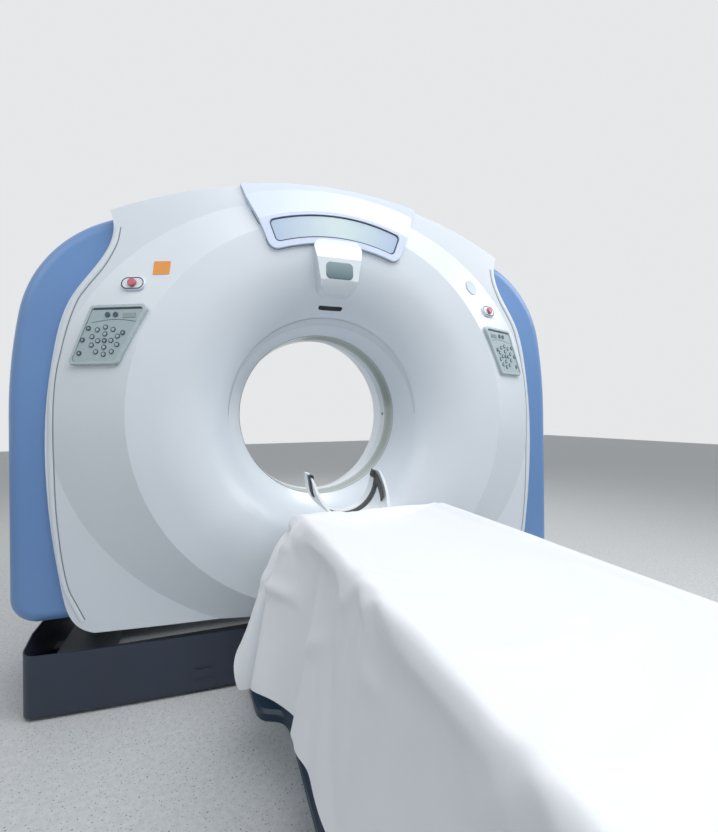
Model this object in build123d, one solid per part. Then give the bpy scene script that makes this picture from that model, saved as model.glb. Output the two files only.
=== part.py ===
from build123d import *
from math import asin, atan2, cos, degrees, hypot, radians, sin, sqrt
import os

# A hospital CT scanner: a ring-shaped gantry that tilts on two uprights over a low base,
# and a patient table on a telescoping pedestal in front of it.
# Millimetres, +Z up. The origin is on the floor below the centre of the scan plane.
# The bore runs along Y, and the table stands on the -Y side.

os.makedirs("parts", exist_ok=True)

# Gantry as a whole
ISO_Z = 1005
BORE_R = 350
GANTRY_W = 2230
GANTRY_H = 1887
SIDE_R = 2080
SHOULDER_R = 463
CROWN_R = 1942
LOWER_CORNER_R = 90
WALL = 5

# Body shell behind the front cover
SHELL_FRONT = -215
SHELL_REAR = 470
SHELL_BOTTOM = 300
SHELL_EDGE_R = 45
SHELL_INNER_CHAMFER = 25
COVER_SEAM_X = 760
OPENING_LIP = 15
REAR_SLOPE_START = 300
REAR_SLOPE_TOP_Z = 430
SIDE_COVER_FLOOR_LIP = 6
UPRIGHT_SLOT_IN = 830

# Front cover
FRONT_BOTTOM = 262
HOOK_X = 790
BARREL_Y = -300
BARREL_R = 6900
CREST_R = 737
CREST_Y = -345
BAND_SLOPE = 0.46
RING_FLAT_R = 650
FLARE_ARC_R = 280
FUNNEL_END_Y = -60
BORE_LIP = 2
MOUTH_FACETS = 7

# Bore liner
WINDOW_REAR_Y = 45
RING_REAR_Y = 100
LINER_WALL = 4
LASER_PORT_R = 9

# Rear cover
REAR_FACE_Y = 505
REAR_INSET = 95
REAR_RIM_R = 660
REAR_FLAT_R = 640
REAR_ARC_R = 250
REAR_EDGE_R = 22

# Display console over the top of the ring, and the hood below it
CONSOLE_INNER_R = 650
CONSOLE_HALF_ANGLE = 22.6
CONSOLE_CORNER_R = 34
CONSOLE_CREST_R = 768
CONSOLE_PROUD = 14
CONSOLE_CAP = 3
SCREEN_INNER_R = 671
SCREEN_OUTER_R = 757
SCREEN_HALF_ANGLE = 20.3
SCREEN_CORNER_R = 18
SCREEN_RECESS = 9
SCREEN_T = 4
HOOD_Y = -382
HOOD_WALL = 10
HOOD_TOP_HALF = 100
HOOD_LOW_HALF = 66
HOOD_ROOT_Z = 1668
HOOD_BROW_Z = 1592
HOOD_CHIN_Z = 1510
HOOD_LOW_Z = 1466
HOOD_CHIN_BULGE = 22
HOOD_THROAT_Y = -300
HOOD_THROAT_Z = 1448
HOOD_CORNER_R = 34
WINDOW_W = 106
WINDOW_H = 64
WINDOW_Z = 1545
WINDOW_CORNER_R = 18
WINDOW_PROUD = 3
LIGHT_SLOT_W = 100
LIGHT_SLOT_H = 14
LIGHT_SLOT_Z = 1436

# Trim panel above the bore
TRIM_OUTER_R = 400
TRIM_DROP = 20
TRIM_FRONT_Y = -200
TRIM_T = 2

# Control panels and emergency stops on the sloping band
PANEL_X = 790
PANEL_Z = 1278
PANEL_H = 208
PANEL_TOP_LEFT = -143
PANEL_TOP_RIGHT = 66
PANEL_LEAN = 99
PANEL_LOW_RIGHT = 132
PANEL_CORNER_R = 16
PANEL_PROUD = 12
PANEL_RIM = 11
PANEL_POCKET = 9
KEYPAD_T = 6
KEY_R = 8.5
KEY_SIDES = 8
KEY_RING_R = 47
KEY_CROSS_STEP = 23
KEY_H = 2.5
STOP_X = 712.5
STOP_Z = 1457
STOP_W = 84
STOP_H = 49
STOP_BEZEL_PROUD = 9
STOP_BUTTON_R = 14
STOP_BUTTON_PROUD = 10
STOP_TRAVEL = 4
STOP_GAP = 0.4

# Tilting frame and trunnions
FRAME_FRONT_Y = 150
FRAME_REAR_Y = 190
FRAME_HALF_W = 790
FRAME_TOP_Z = 1730
FRAME_BOTTOM_Z = 300
FRAME_CORNER = 330
BRACKET_IN = 742
BRACKET_FRONT_Y = -85
BRACKET_HALF_H = 210
TRUNNION_R = 45
TRUNNION_BOSS_R = 88
TRUNNION_BOSS_OUT = 845
TRUNNION_END = 1012
TRUNNION_BEARING_R = 72
TRUNNION_FIT = 0.05

# Uprights
UPRIGHT_IN = 880
UPRIGHT_OUT = 960
UPRIGHT_HEAD_R = 112
UPRIGHT_FOOT_FRONT = 135
UPRIGHT_FOOT_REAR = 305
UPRIGHT_KNEE_Z = 330
UPRIGHT_FLANGE_T = 20
UPRIGHT_FLANGE_PROUD = 30

# Tilt drive
GEARBOX_OUT = 1046
GEARBOX_R = 96
GEARBOX_ARM_HALF_W = 60
GEARBOX_ARM_DROP = 150
WORM_CASE_R = 50
TILT_MOTOR_R = 43
TILT_MOTOR_L = 190

# Base
BASE_HALF_W = 1066
BASE_FRONT_Y = -289
BASE_REAR_Y = 520
BASE_FRONT_R = 16000
BASE_COVER_LOW = 14
BASE_COVER_TOP = 215
BASE_CHEEK_TOP = 246
BASE_SEAM_X = 814
BASE_CORNER_R = 40
BASE_WALL = 4
BASE_FRAME_LOW = 26
BASE_FRAME_TOP = 150
BEAM_IN = 850
BEAM_OUT = 1000
BEAM_FRONT_Y = -235
BEAM_REAR_Y = 480
CROSS_BEAM_W = 120
ANCHOR_SPACING = 1200
ANCHOR_HOLE_R = 9
FOOT_PAD_R = 55
FOOT_STUD_R = 14

# Rotor
DRUM_FRONT_Y = 60
DRUM_T = 30
DRUM_R = 715
DRUM_HUB_R = 400
DRUM_HUB_WALL = 30
DRUM_RIM_T = 20
DRUM_RIM_REAR_Y = 130
DRUM_HUB_REAR_Y = 272
RACE_T = 15
RACE_GAP = 0.08
RACE_FRONT_Y = 98
OUTER_RACE_R = 480
SLIP_RING_R = 560
SLIP_RING_FRONT_Y = 236
SLIP_RING_T = 26
SLIP_TRACKS = 3
SLIP_TRACK_W = 20
SLIP_TRACK_STEP = 36
SLIP_TRACK_START = 18
BRUSH_BLOCK_W = 90
BRUSH_REACH = 10
FOCAL_R = 541
SCAN_RADIUS = 949
FAN_HALF_ANGLE = 25
DETECTOR_T = 46
DETECTOR_HALF_W = 42
DATA_UNIT_T = 92
TUBE_R = 88
TUBE_AXIS_R = 608
TUBE_FRONT_Y = -168
COLLIMATOR_W = 170
COLLIMATOR_IN_R = 440
GENERATOR_W = 290
GENERATOR_IN_R = 478
GENERATOR_OUT_R = 672
GENERATOR_FRONT_Y = -150
EXCHANGER_W = 240
EXCHANGER_IN_R = 480
EXCHANGER_OUT_R = 670
EXCHANGER_FRONT_Y = -140
FIN_COUNT = 11

# Rotor drive
PULLEY_R = 45
PULLEY_DISTANCE = 822
PULLEY_ANGLE = -40
BELT_T = 5
BELT_W = 28
BELT_GAP = 0.3
BELT_REAR_Y = 126
MOTOR_R = 78
MOTOR_L = 190
MOTOR_SHAFT_R = 14
MOTOR_SHAFT_GAP = 0.08

# Table
TABLE_END_Y = -2960
FOOT_FRONT_Y = -297
FOOT_HALF_W = 340
FOOT_TAIL_HALF_W = 240
FOOT_TAIL_START_Y = -600
FOOT_TAIL_END_Y = -2010
FOOT_PLATE_H = 34
FOOT_BLOCK_TOP = 104
FOOT_BLOCK_INSET = 42
DOCK_T = 8
DOCK_HALF_W = 190
DOCK_UNDER_FOOT = 240
DOCK_REAR_Y = 60
SKIRT_FRONT_Y = -690
SKIRT_REAR_Y = -1900
SKIRT_HALF_W = 222
SKIRT_WALL = 3
SKIRT_STEP = 10
SKIRT_CORNER_R = 40
SKIRT_LIP_H = 12
SKIRT_LIP_GAP = 0.3
LOWER_SKIRT_TOP = 320
MIDDLE_SKIRT_LOW = 96
MIDDLE_SKIRT_TOP = 450
UPPER_SKIRT_LOW = 200
LIFT_TUBE_R = 62
LIFT_ROD_R = 50
LIFT_Y_FRONT = -900
LIFT_Y_REAR = -1690
LIFT_TUBE_TOP = 410
LIFT_ROD_LOW = 175
LIFT_FIT = 0.1
LIFT_TUBE_FLOOR = 20
TABLE_FRAME_LOW = 560
TABLE_FRAME_H = 52
TABLE_FRAME_HALF_W = 205
TABLE_FRAME_FRONT_Y = -700
TABLE_FRAME_WALL = 6
TABLE_FRAME_CELLS = 4
GLIDE_W = 26
GLIDE_L = 90
GLIDE_X = 80
GLIDE_COUNT = 5
GLIDE_GAP = 0.3
CRADLE_HALF_W = 232
CRADLE_LOW_Z = 655
CRADLE_EDGE_RISE = 46
CRADLE_T = 12
CRADLE_FRONT_Y = -682
CRADLE_REAR_Y = -2940
RAIL_BOTTOM_Z = 632
PAD_T = 16
PAD_FRONT_Y = -740
PAD_REAR_Y = -2900
SOFT_GAP = 0.3
HOLDER_FRONT_Y = -342
HOLDER_HALF_W = 130
HOLDER_LOW_Z = 632
HOLDER_TOP_Z = 790
HOLDER_WALL = 8
HOLDER_BEND_RISE = 100
HOLDER_LEAN = 8
HOLDER_HEEL_H = 36
HOLDER_HEEL_T = 10
HOLDER_SWEEP_LOW_Y = -560
HOLDER_SWEEP_HIGH_Y = -455
STRAP_W = 46
STRAP_T = 4
STRAP_Y = -398
SHEET_T = 4
SHEET_OVERHANG = 14
SHEET_FRONT_Y = -648
SHEET_REAR_Y = -2975
SHEET_DROP_FRONT = 450
SHEET_DROP_REAR = 330
SHEET_FLARE_FRONT = 140
SHEET_FLARE_REAR = 40

BORE_AXIS = Axis((0, 0, ISO_Z), (0, 1, 0))


def slab(sketch, front, back):
    """A sketch drawn in X and Z, as a block from y = front to y = back."""
    plane = Plane(origin=(0, back, 0), x_dir=(1, 0, 0), z_dir=(0, -1, 0))
    return extrude(plane * sketch, amount=back - front)


def cross_slab(sketch, left, right):
    """A sketch drawn in Y and Z, as a block from x = left to x = right."""
    plane = Plane(origin=(left, 0, 0), x_dir=(0, 1, 0), z_dir=(1, 0, 0))
    return extrude(plane * sketch, amount=right - left)


def floor_slab(sketch, low, high):
    """A sketch drawn in X and Y, as a block from z = low to z = high."""
    return extrude(Pos(0, 0, low) * sketch, amount=high - low)


def block(x0, x1, y0, y1, z0, z1):
    """A plain block between two corners."""
    return Pos((x0 + x1) / 2, (y0 + y1) / 2, (z0 + z1) / 2) * Box(x1 - x0, y1 - y0, z1 - z0)


def turned(profile):
    """A profile of radius and y, turned about the bore axis."""
    return revolve(Pos(0, 0, ISO_Z) * profile, axis=BORE_AXIS)


def ring(inner, outer, front, back):
    """A plain ring about the bore axis."""
    corners = [(inner, front), (outer, front), (outer, back), (inner, back), (inner, front)]
    return turned(make_face(Polyline(*corners)))


def rod_y(x, z, radius, front, back):
    """A round bar along Y."""
    return slab(Pos(x, z) * Circle(radius), front, back)


def rod_x(y, z, radius, left, right):
    """A round bar along X."""
    return cross_slab(Pos(y, z) * Circle(radius), left, right)


def outline(*curves):
    """A face bounded by curves that meet end to end."""
    return make_face([edge for curve in curves for edge in curve.edges()])


def polygon(*points):
    """A straight-sided face."""
    return make_face(Polyline(*points, points[0]))


def rounded(face, radius):
    """A face with all of its corners rounded."""
    return fillet(face.vertices(), radius)


def mirrored(part):
    """The same piece on the other side of the machine."""
    return mirror(part, about=Plane.YZ)


def write(name, *solids):
    """One STEP file for one named piece or group of like pieces."""
    shape = solids[0] if len(solids) == 1 else Compound(children=list(solids))
    export_step(shape, f"parts/{name}.step")


# Outline of the gantry as seen from the front: straight flanks, a gently curved upper
# flank, a shoulder and a crown, all arcs tangent to each other.
def gantry_outline(inset, bottom):
    half_w = GANTRY_W / 2 - inset
    side_r, shoulder_r, crown_r = SIDE_R - inset, SHOULDER_R - inset, CROWN_R - inset
    side_c = (half_w - side_r, ISO_Z)
    crown_c = (0, GANTRY_H - inset - crown_r)
    to_side, to_crown = side_r - shoulder_r, crown_r - shoulder_r
    dx, dz = crown_c[0] - side_c[0], crown_c[1] - side_c[1]
    span = hypot(dx, dz)
    along = (to_side**2 - to_crown**2 + span**2) / (2 * span)
    across = sqrt(to_side**2 - along**2)
    centre = (
        side_c[0] + (along * dx - across * dz) / span,
        side_c[1] + (along * dz + across * dx) / span,
    )
    side_angle = degrees(atan2(centre[1] - side_c[1], centre[0] - side_c[0]))
    crown_angle = degrees(atan2(centre[1] - crown_c[1], centre[0] - crown_c[0]))
    corner_r = LOWER_CORNER_R - inset
    corner_z = bottom + corner_r
    flank = [
        CenterArc((half_w - corner_r, corner_z), corner_r, -90, 90),
        Line((half_w, corner_z), (half_w, ISO_Z)),
        CenterArc(side_c, side_r, 0, side_angle),
        CenterArc(centre, shoulder_r, side_angle, crown_angle - side_angle),
    ]
    crown = CenterArc(crown_c, crown_r, crown_angle, 180 - 2 * crown_angle)
    foot = Line((-half_w + corner_r, bottom), (half_w - corner_r, bottom))
    edges = flank + [crown, foot] + [mirror(edge, about=Plane.YZ) for edge in flank]
    return outline(*edges)


def crown_z(x, inset=0):
    """Height of the crown at x."""
    return GANTRY_H - CROWN_R + sqrt((CROWN_R - inset) ** 2 - x**2)


# Outline of the front cover: its edge bows out to the flanks, comes in under the
# shoulders and turns up in a slight hook to meet the crown.
def front_outline(inset):
    hook_x = HOOK_X - inset
    edge = [
        (905 - inset, FRONT_BOTTOM + 30),
        (950 - inset, FRONT_BOTTOM + 150),
        (988 - inset, 700),
        (990 - inset, 1060),
        (968 - inset, 1225),
        (914 - inset, 1410),
        (835 - inset, 1525),
        (784 - inset, 1625),
        (hook_x, crown_z(hook_x, inset)),
    ]
    low = (850 - inset, FRONT_BOTTOM + inset)
    side = Spline([low] + edge)
    top = ThreePointArc(edge[-1], (0, GANTRY_H - inset), (-edge[-1][0], edge[-1][1]))
    foot = Line((-low[0], low[1]), low)
    return outline(foot, side, top, mirror(side, about=Plane.YZ))


# Half section of a bell mouth, from its rim in to the bore: a flat, a curve in short
# facets, which keep the mesh light, and a straight throat. A shift sets it back into the wall.
def mouth_section(rim_r, flat_r, face_y, arc_r, end_y, shift):
    inward = 1 if end_y > face_y else -1
    end_r = BORE_R + BORE_LIP
    centre = Vector(flat_r, face_y + inward * arc_r)
    dr, dy = flat_r - end_r, inward * (centre.Y - end_y)
    turn = asin(arc_r / hypot(dr, dy)) - atan2(dy, dr)
    reach = arc_r - shift
    curve = []
    for i in range(MOUTH_FACETS + 1):
        angle = turn * i / MOUTH_FACETS
        curve.append(centre + Vector(-sin(angle), -inward * cos(angle)) * reach)
    rim = Vector(rim_r - 2 * shift, face_y + inward * shift)
    end = Vector(end_r + shift / sin(turn), end_y)
    return [Line(rim, curve[0]), Polyline(*curve), Line(curve[-1], end)]


def mouth_core(section, outside, inside):
    """Everything in front of a bell mouth, from y = outside in to y = inside."""
    rim, end = section[0] @ 0, section[-1] @ 1
    corners = [(end.X, end.Y), (end.X, inside), (0, inside), (0, outside), (rim.X, outside)]
    return turned(outline(*section, Polyline(*corners, (rim.X, rim.Y))))


def front_core(shift, outside=CREST_Y - 60, inside=FUNNEL_END_Y + 20):
    """The space in front of the front cover's bell mouth."""
    section = mouth_section(CREST_R, RING_FLAT_R, CREST_Y, FLARE_ARC_R, FUNNEL_END_Y, shift)
    return mouth_core(section, outside, inside)


def rear_core(shift, outside=REAR_FACE_Y + 60, inside=RING_REAR_Y - 20):
    """The space behind the rear cover's bell mouth."""
    section = mouth_section(REAR_RIM_R, REAR_FLAT_R, REAR_FACE_Y, REAR_ARC_R, RING_REAR_Y, shift)
    return mouth_core(section, outside, inside)


def band_y(r, inset=0):
    """Where the sloping band behind the crest lies at a radius."""
    return CREST_Y + BAND_SLOPE * (r - CREST_R) + inset * hypot(1, BAND_SLOPE)


def front_block(inset, back):
    """The front cover as a solid block: barrel-shaped plate and conical band together."""
    reach = GANTRY_W / 2
    y_edge = BARREL_Y + reach**2 / (2 * BARREL_R) + inset
    bow = ThreePointArc((-reach, y_edge), (0, BARREL_Y + inset), (reach, y_edge))
    sides = Polyline((reach, y_edge), (reach, back), (-reach, back), (-reach, y_edge))
    barrel = floor_slab(outline(bow, sides), FRONT_BOTTOM - 20, GANTRY_H + 20)
    rim_r = CREST_R + (back - band_y(CREST_R, inset)) / BAND_SLOPE
    flat_y = CREST_Y + inset
    cone = turned(
        polygon((0, back), (0, flat_y), (CREST_R - inset, flat_y), (rim_r, back))
    )
    return (barrel + cone) & slab(front_outline(inset), CREST_Y - 60, back)


FRONT_SOLID = front_block(0, SHELL_FRONT)
FUNNEL = front_core(0)


# Front cover: one moulding with the plate, the band, the ring and the bell mouth.
def front_cover():
    plate = FRONT_SOLID - front_block(WALL, SHELL_FRONT + 1)
    bell = front_core(WALL, CREST_Y - WALL, FUNNEL_END_Y + WALL)
    bell -= rod_y(0, ISO_Z, CREST_R, FUNNEL_END_Y, FUNNEL_END_Y + 2 * WALL)
    return (plate + bell) - FUNNEL - light_slot_hole()


def light_slot_hole():
    """The slit over the bore that a positioning light shines through."""
    shape = Pos(0, LIGHT_SLOT_Z) * SlotOverall(LIGHT_SLOT_W, LIGHT_SLOT_H)
    return slab(shape, CREST_Y - 40, FUNNEL_END_Y)


def light_slot():
    return (front_core(WALL) - front_core(1)) & light_slot_hole()


# Shell of the gantry behind the front cover, before it is cut into its covers.
def body_shell(edge_r):
    outer = slab(gantry_outline(0, SHELL_BOTTOM), SHELL_FRONT, SHELL_REAR)
    inner = slab(gantry_outline(WALL, SHELL_BOTTOM + WALL), SHELL_FRONT + WALL, SHELL_REAR - WALL)
    if edge_r:
        outer = fillet(outer.edges().group_by(Axis.Y)[0], edge_r)
        inner = chamfer(inner.edges().group_by(Axis.Y)[0], SHELL_INNER_CHAMFER)
    outer = fillet(outer.edges().group_by(Axis.Y)[-1], SHELL_EDGE_R)
    inner = chamfer(inner.edges().group_by(Axis.Y)[-1], SHELL_INNER_CHAMFER)
    outer -= slab(front_outline(OPENING_LIP), SHELL_FRONT - 10, SHELL_FRONT + 60)
    outer -= slab(rear_outline(OPENING_LIP), SHELL_REAR - 60, SHELL_REAR + 10)
    return outer - inner - rear_wedge()


def rear_wedge():
    """What is cut off the lower rear corner so that the gantry can tilt over the base."""
    return cross_slab(
        polygon(
            (REAR_SLOPE_START, SHELL_BOTTOM - 60),
            (REAR_SLOPE_START, SHELL_BOTTOM),
            (SHELL_REAR, REAR_SLOPE_TOP_Z),
            (SHELL_REAR + 60, REAR_SLOPE_TOP_Z),
            (SHELL_REAR + 60, SHELL_BOTTOM - 60),
        ),
        -GANTRY_W,
        GANTRY_W,
    )


def rear_outline(inset):
    return gantry_outline(REAR_INSET - LOWER_CORNER_R / 3 + inset, REAR_SLOPE_TOP_Z + 14 + inset)


# Side cover: the blue flank, open below where the upright passes up into it.
def side_cover():
    shell = body_shell(SHELL_EDGE_R)
    keep = block(COVER_SEAM_X, GANTRY_W, -600, 900, 0, GANTRY_H + 100)
    slot = block(
        UPRIGHT_SLOT_IN,
        GANTRY_W / 2 - WALL,
        SHELL_FRONT + WALL,
        SHELL_REAR - WALL,
        SHELL_BOTTOM - 50,
        SHELL_BOTTOM + SIDE_COVER_FLOOR_LIP,
    )
    return (shell & keep) - slot


def top_cover():
    shell = body_shell(0)
    return shell & block(-COVER_SEAM_X, COVER_SEAM_X, -600, 900, ISO_Z, GANTRY_H + 100)


# Bottom cover: a folded sheet under the rotor that closes the gantry between the sides.
def bottom_cover():
    front_y, low = SHELL_FRONT, FRONT_BOTTOM
    profile = polygon(
        (front_y, low),
        (REAR_SLOPE_START, low),
        (SHELL_REAR, REAR_SLOPE_TOP_Z),
        (SHELL_REAR, REAR_SLOPE_TOP_Z + WALL),
        (REAR_SLOPE_START - 2, low + WALL),
        (front_y, low + WALL),
    )
    tray = cross_slab(profile, -COVER_SEAM_X, COVER_SEAM_X)
    cheek_profile = polygon(
        (front_y, low),
        (REAR_SLOPE_START, low),
        (SHELL_REAR, REAR_SLOPE_TOP_Z),
        (SHELL_REAR - WALL, REAR_SLOPE_TOP_Z + 14),
        (SHELL_REAR - WALL, 560),
        (front_y + WALL, 560),
        (front_y + WALL, low + 60),
        (front_y, low + 60),
    )
    cheek = cross_slab(cheek_profile, COVER_SEAM_X - WALL, COVER_SEAM_X)
    return tray + cheek + mirrored(cheek) - body_shell(0)


# Rear cover: a shallow dished plate with a wide bell mouth into the bore.
def rear_cover():
    outer = slab(rear_outline(0), SHELL_REAR, REAR_FACE_Y)
    outer = fillet(outer.edges().group_by(Axis.Y)[-1], REAR_EDGE_R)
    inner = slab(rear_outline(WALL), SHELL_REAR - 1, REAR_FACE_Y - WALL)
    inner = chamfer(inner.edges().group_by(Axis.Y)[-1], REAR_EDGE_R / 2)
    bell = rear_core(WALL, REAR_FACE_Y + WALL, RING_REAR_Y - WALL)
    bell -= rod_y(0, ISO_Z, REAR_RIM_R, RING_REAR_Y - 2 * WALL, RING_REAR_Y)
    return ((outer - inner) + bell) - rear_core(0)


# Bore liner: a thin ring that the beam passes through, and a white ring behind it.
def scan_window():
    return ring(BORE_R, BORE_R + LINER_WALL, FUNNEL_END_Y, WINDOW_REAR_Y)


def rear_bore_ring():
    liner = ring(BORE_R, BORE_R + LINER_WALL, WINDOW_REAR_Y, RING_REAR_Y)
    port = rod_x((WINDOW_REAR_Y + RING_REAR_Y) / 2, ISO_Z, LASER_PORT_R, 0, BORE_R + 60)
    return liner - port


# A sector of a ring about the bore axis, symmetric about the top.
def top_sector(half_angle, inner, outer):
    reach = radians(half_angle)
    near = [(inner * sin(a), ISO_Z + inner * cos(a)) for a in (-reach, 0, reach)]
    far = [(outer * sin(a), ISO_Z + outer * cos(a)) for a in (-reach, 0, reach)]
    return outline(
        ThreePointArc(*near), ThreePointArc(*far), Line(near[0], far[0]), Line(near[2], far[2])
    )


# Display console: one moulding with a flat front, a top that slopes back to the crown, a
# pocket for the screen, and a hood below it that carries a window.
def console_front(inset):
    return CREST_Y - CONSOLE_PROUD + inset


def console_block():
    front = console_front(0)
    rim_r = CONSOLE_CREST_R + (SHELL_FRONT - front) / BAND_SLOPE
    crest = turned(
        polygon((0, SHELL_FRONT), (0, front), (CONSOLE_CREST_R, front), (rim_r, SHELL_FRONT))
    )
    shape = top_sector(CONSOLE_HALF_ANGLE, CONSOLE_INNER_R, GANTRY_H)
    shape = fillet(shape.vertices().sort_by(Axis.Y)[:2], CONSOLE_CORNER_R)
    crown_centre = GANTRY_H - CROWN_R
    shape &= Pos(0, crown_centre) * Circle(CROWN_R + CONSOLE_CAP)
    skin = crest + front_block(-CONSOLE_PROUD, SHELL_FRONT)
    return skin & slab(shape, front - 10, SHELL_FRONT)


def hood_block(inset):
    shape = rounded(
        polygon(
            (-HOOD_TOP_HALF + inset, HOOD_ROOT_Z),
            (HOOD_TOP_HALF - inset, HOOD_ROOT_Z),
            (HOOD_LOW_HALF - inset, HOOD_LOW_Z + inset),
            (-HOOD_LOW_HALF + inset, HOOD_LOW_Z + inset),
        ),
        HOOD_CORNER_R - inset,
    )
    root, brow = (console_front(inset), HOOD_ROOT_Z), (HOOD_Y + inset, HOOD_BROW_Z)
    chin, throat = (HOOD_Y + inset, HOOD_CHIN_Z), (HOOD_THROAT_Y + inset, HOOD_THROAT_Z)
    bulge = (HOOD_Y + inset + HOOD_CHIN_BULGE, (HOOD_CHIN_Z + HOOD_THROAT_Z) / 2)
    back = Polyline(throat, (SHELL_FRONT, HOOD_THROAT_Z), (SHELL_FRONT, HOOD_ROOT_Z), root, brow, chin)
    side = outline(ThreePointArc(chin, bulge, throat), back)
    return slab(shape, HOOD_Y - 20, SHELL_FRONT) & cross_slab(side, -GANTRY_W, GANTRY_W)


def screen_outline():
    return rounded(
        top_sector(SCREEN_HALF_ANGLE, SCREEN_INNER_R, SCREEN_OUTER_R), SCREEN_CORNER_R
    )


def window_outline():
    return Pos(0, WINDOW_Z) * RectangleRounded(WINDOW_W, WINDOW_H, WINDOW_CORNER_R)


def display_console():
    housing = (console_block() + hood_block(0)) - (FRONT_SOLID - FUNNEL)
    housing -= hood_block(HOOD_WALL) - slab(
        top_sector(90, CONSOLE_INNER_R, GANTRY_H), HOOD_Y - 20, SHELL_FRONT + 1
    )
    housing -= slab(screen_outline(), HOOD_Y - 20, console_front(SCREEN_RECESS))
    housing -= slab(window_outline(), HOOD_Y - 20, HOOD_Y + HOOD_WALL + 1)
    return housing


def display_screen():
    floor = console_front(SCREEN_RECESS)
    return slab(screen_outline(), floor - SCREEN_T, floor)


def hood_window():
    pane = slab(window_outline(), HOOD_Y - WINDOW_PROUD, HOOD_Y + HOOD_WALL)
    return chamfer(pane.edges().group_by(Axis.Y)[0], WINDOW_PROUD - 1)


# Trim: a thin crescent panel on the bell mouth just above the bore.
def bore_trim():
    skin = front_core(0) - front_core(-TRIM_T)
    crescent = Pos(0, ISO_Z) * Circle(TRIM_OUTER_R) - Pos(0, ISO_Z - TRIM_DROP) * Circle(TRIM_OUTER_R)
    above = Pos(0, ISO_Z + TRIM_OUTER_R) * Rectangle(3 * TRIM_OUTER_R, 2 * TRIM_OUTER_R)
    crescent = crescent & above
    return skin & slab(crescent, TRIM_FRONT_Y, FUNNEL_END_Y - 5)


# What is set on the sloping band lies on a plane tangent to it.
def band_plane(x, z, lift=0):
    r = hypot(x, z - ISO_Z)
    normal = Vector(BAND_SLOPE * x / r, -1, BAND_SLOPE * (z - ISO_Z) / r).normalized()
    level = Vector(-normal.Y, normal.X, 0).normalized()
    origin = Vector(x, band_y(r), z) + normal * lift
    return Plane(origin=origin, x_dir=level, z_dir=normal)


def outermost(body, plane):
    """The edges of the face that stands furthest off a plane."""
    return body.faces().sort_by(Axis(plane.origin, plane.z_dir))[-1].edges()


def panel_outline(inset):
    high, low = PANEL_H / 2 - inset, -PANEL_H / 2 + inset
    low_left = PANEL_TOP_LEFT + PANEL_LEAN
    corners = polygon(
        (PANEL_TOP_LEFT + 1.4 * inset, high),
        (PANEL_TOP_RIGHT - 0.8 * inset, high),
        (PANEL_LOW_RIGHT - 1.2 * inset, low),
        (low_left + 0.8 * inset, low),
    )
    return rounded(corners, PANEL_CORNER_R - inset / 2)


def control_panel():
    plane = band_plane(PANEL_X, PANEL_Z)
    body = extrude(plane * panel_outline(0), amount=PANEL_PROUD)
    body = chamfer(outermost(body, plane), 3)
    skirt = extrude(plane * panel_outline(0), amount=-40)
    pocket = extrude(plane * Pos(0, 0, PANEL_PROUD) * panel_outline(PANEL_RIM), amount=-PANEL_POCKET)
    return (body + skirt) - (FRONT_SOLID - FUNNEL) - pocket


def keypad():
    plane = band_plane(PANEL_X, PANEL_Z, PANEL_PROUD - PANEL_POCKET)
    pad = extrude(plane * panel_outline(PANEL_RIM), amount=KEYPAD_T)
    centre = (6, -22)
    spots = [
        (centre[0] + KEY_RING_R * cos(radians(a)), centre[1] + KEY_RING_R * sin(radians(a)))
        for a in range(18, 378, 36)
    ]
    spots += [(centre[0] + dx, centre[1] + dy) for dx, dy in cross_offsets()]
    spots += [(-62, 66), (-36, 66)]
    face = plane * Pos(0, 0, KEYPAD_T)
    for x, y in spots:
        pad += extrude(face * Pos(x, y) * RegularPolygon(KEY_R, KEY_SIDES), amount=KEY_H)
    display = extrude(face * Pos(16, 66) * RectangleRounded(58, 20, 3), amount=KEY_H / 2)
    return pad + display


def cross_offsets():
    step = KEY_CROSS_STEP
    return [(0, 0), (step, 0), (-step, 0), (0, step), (0, -step)]


# Emergency stop: an oblong bezel with a round button that is pushed in.
def stop_bezel():
    plane = band_plane(STOP_X, STOP_Z)
    body = extrude(plane * SlotOverall(STOP_W, STOP_H), amount=STOP_BEZEL_PROUD)
    body = chamfer(outermost(body, plane), 2.5)
    skirt = extrude(plane * SlotOverall(STOP_W, STOP_H), amount=-10)
    well = extrude(
        plane * Pos(0, 0, STOP_BEZEL_PROUD) * Circle(STOP_BUTTON_R + STOP_GAP),
        amount=-(STOP_BEZEL_PROUD - 1),
    )
    return (body + skirt) - (FRONT_SOLID - FUNNEL) - well


def stop_button():
    plane = band_plane(STOP_X, STOP_Z, 1 + STOP_TRAVEL + 1)
    top = STOP_BEZEL_PROUD + STOP_BUTTON_PROUD - 2 - STOP_TRAVEL
    body = extrude(plane * Circle(STOP_BUTTON_R), amount=top)
    return chamfer(outermost(body, plane), 2)


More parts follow.
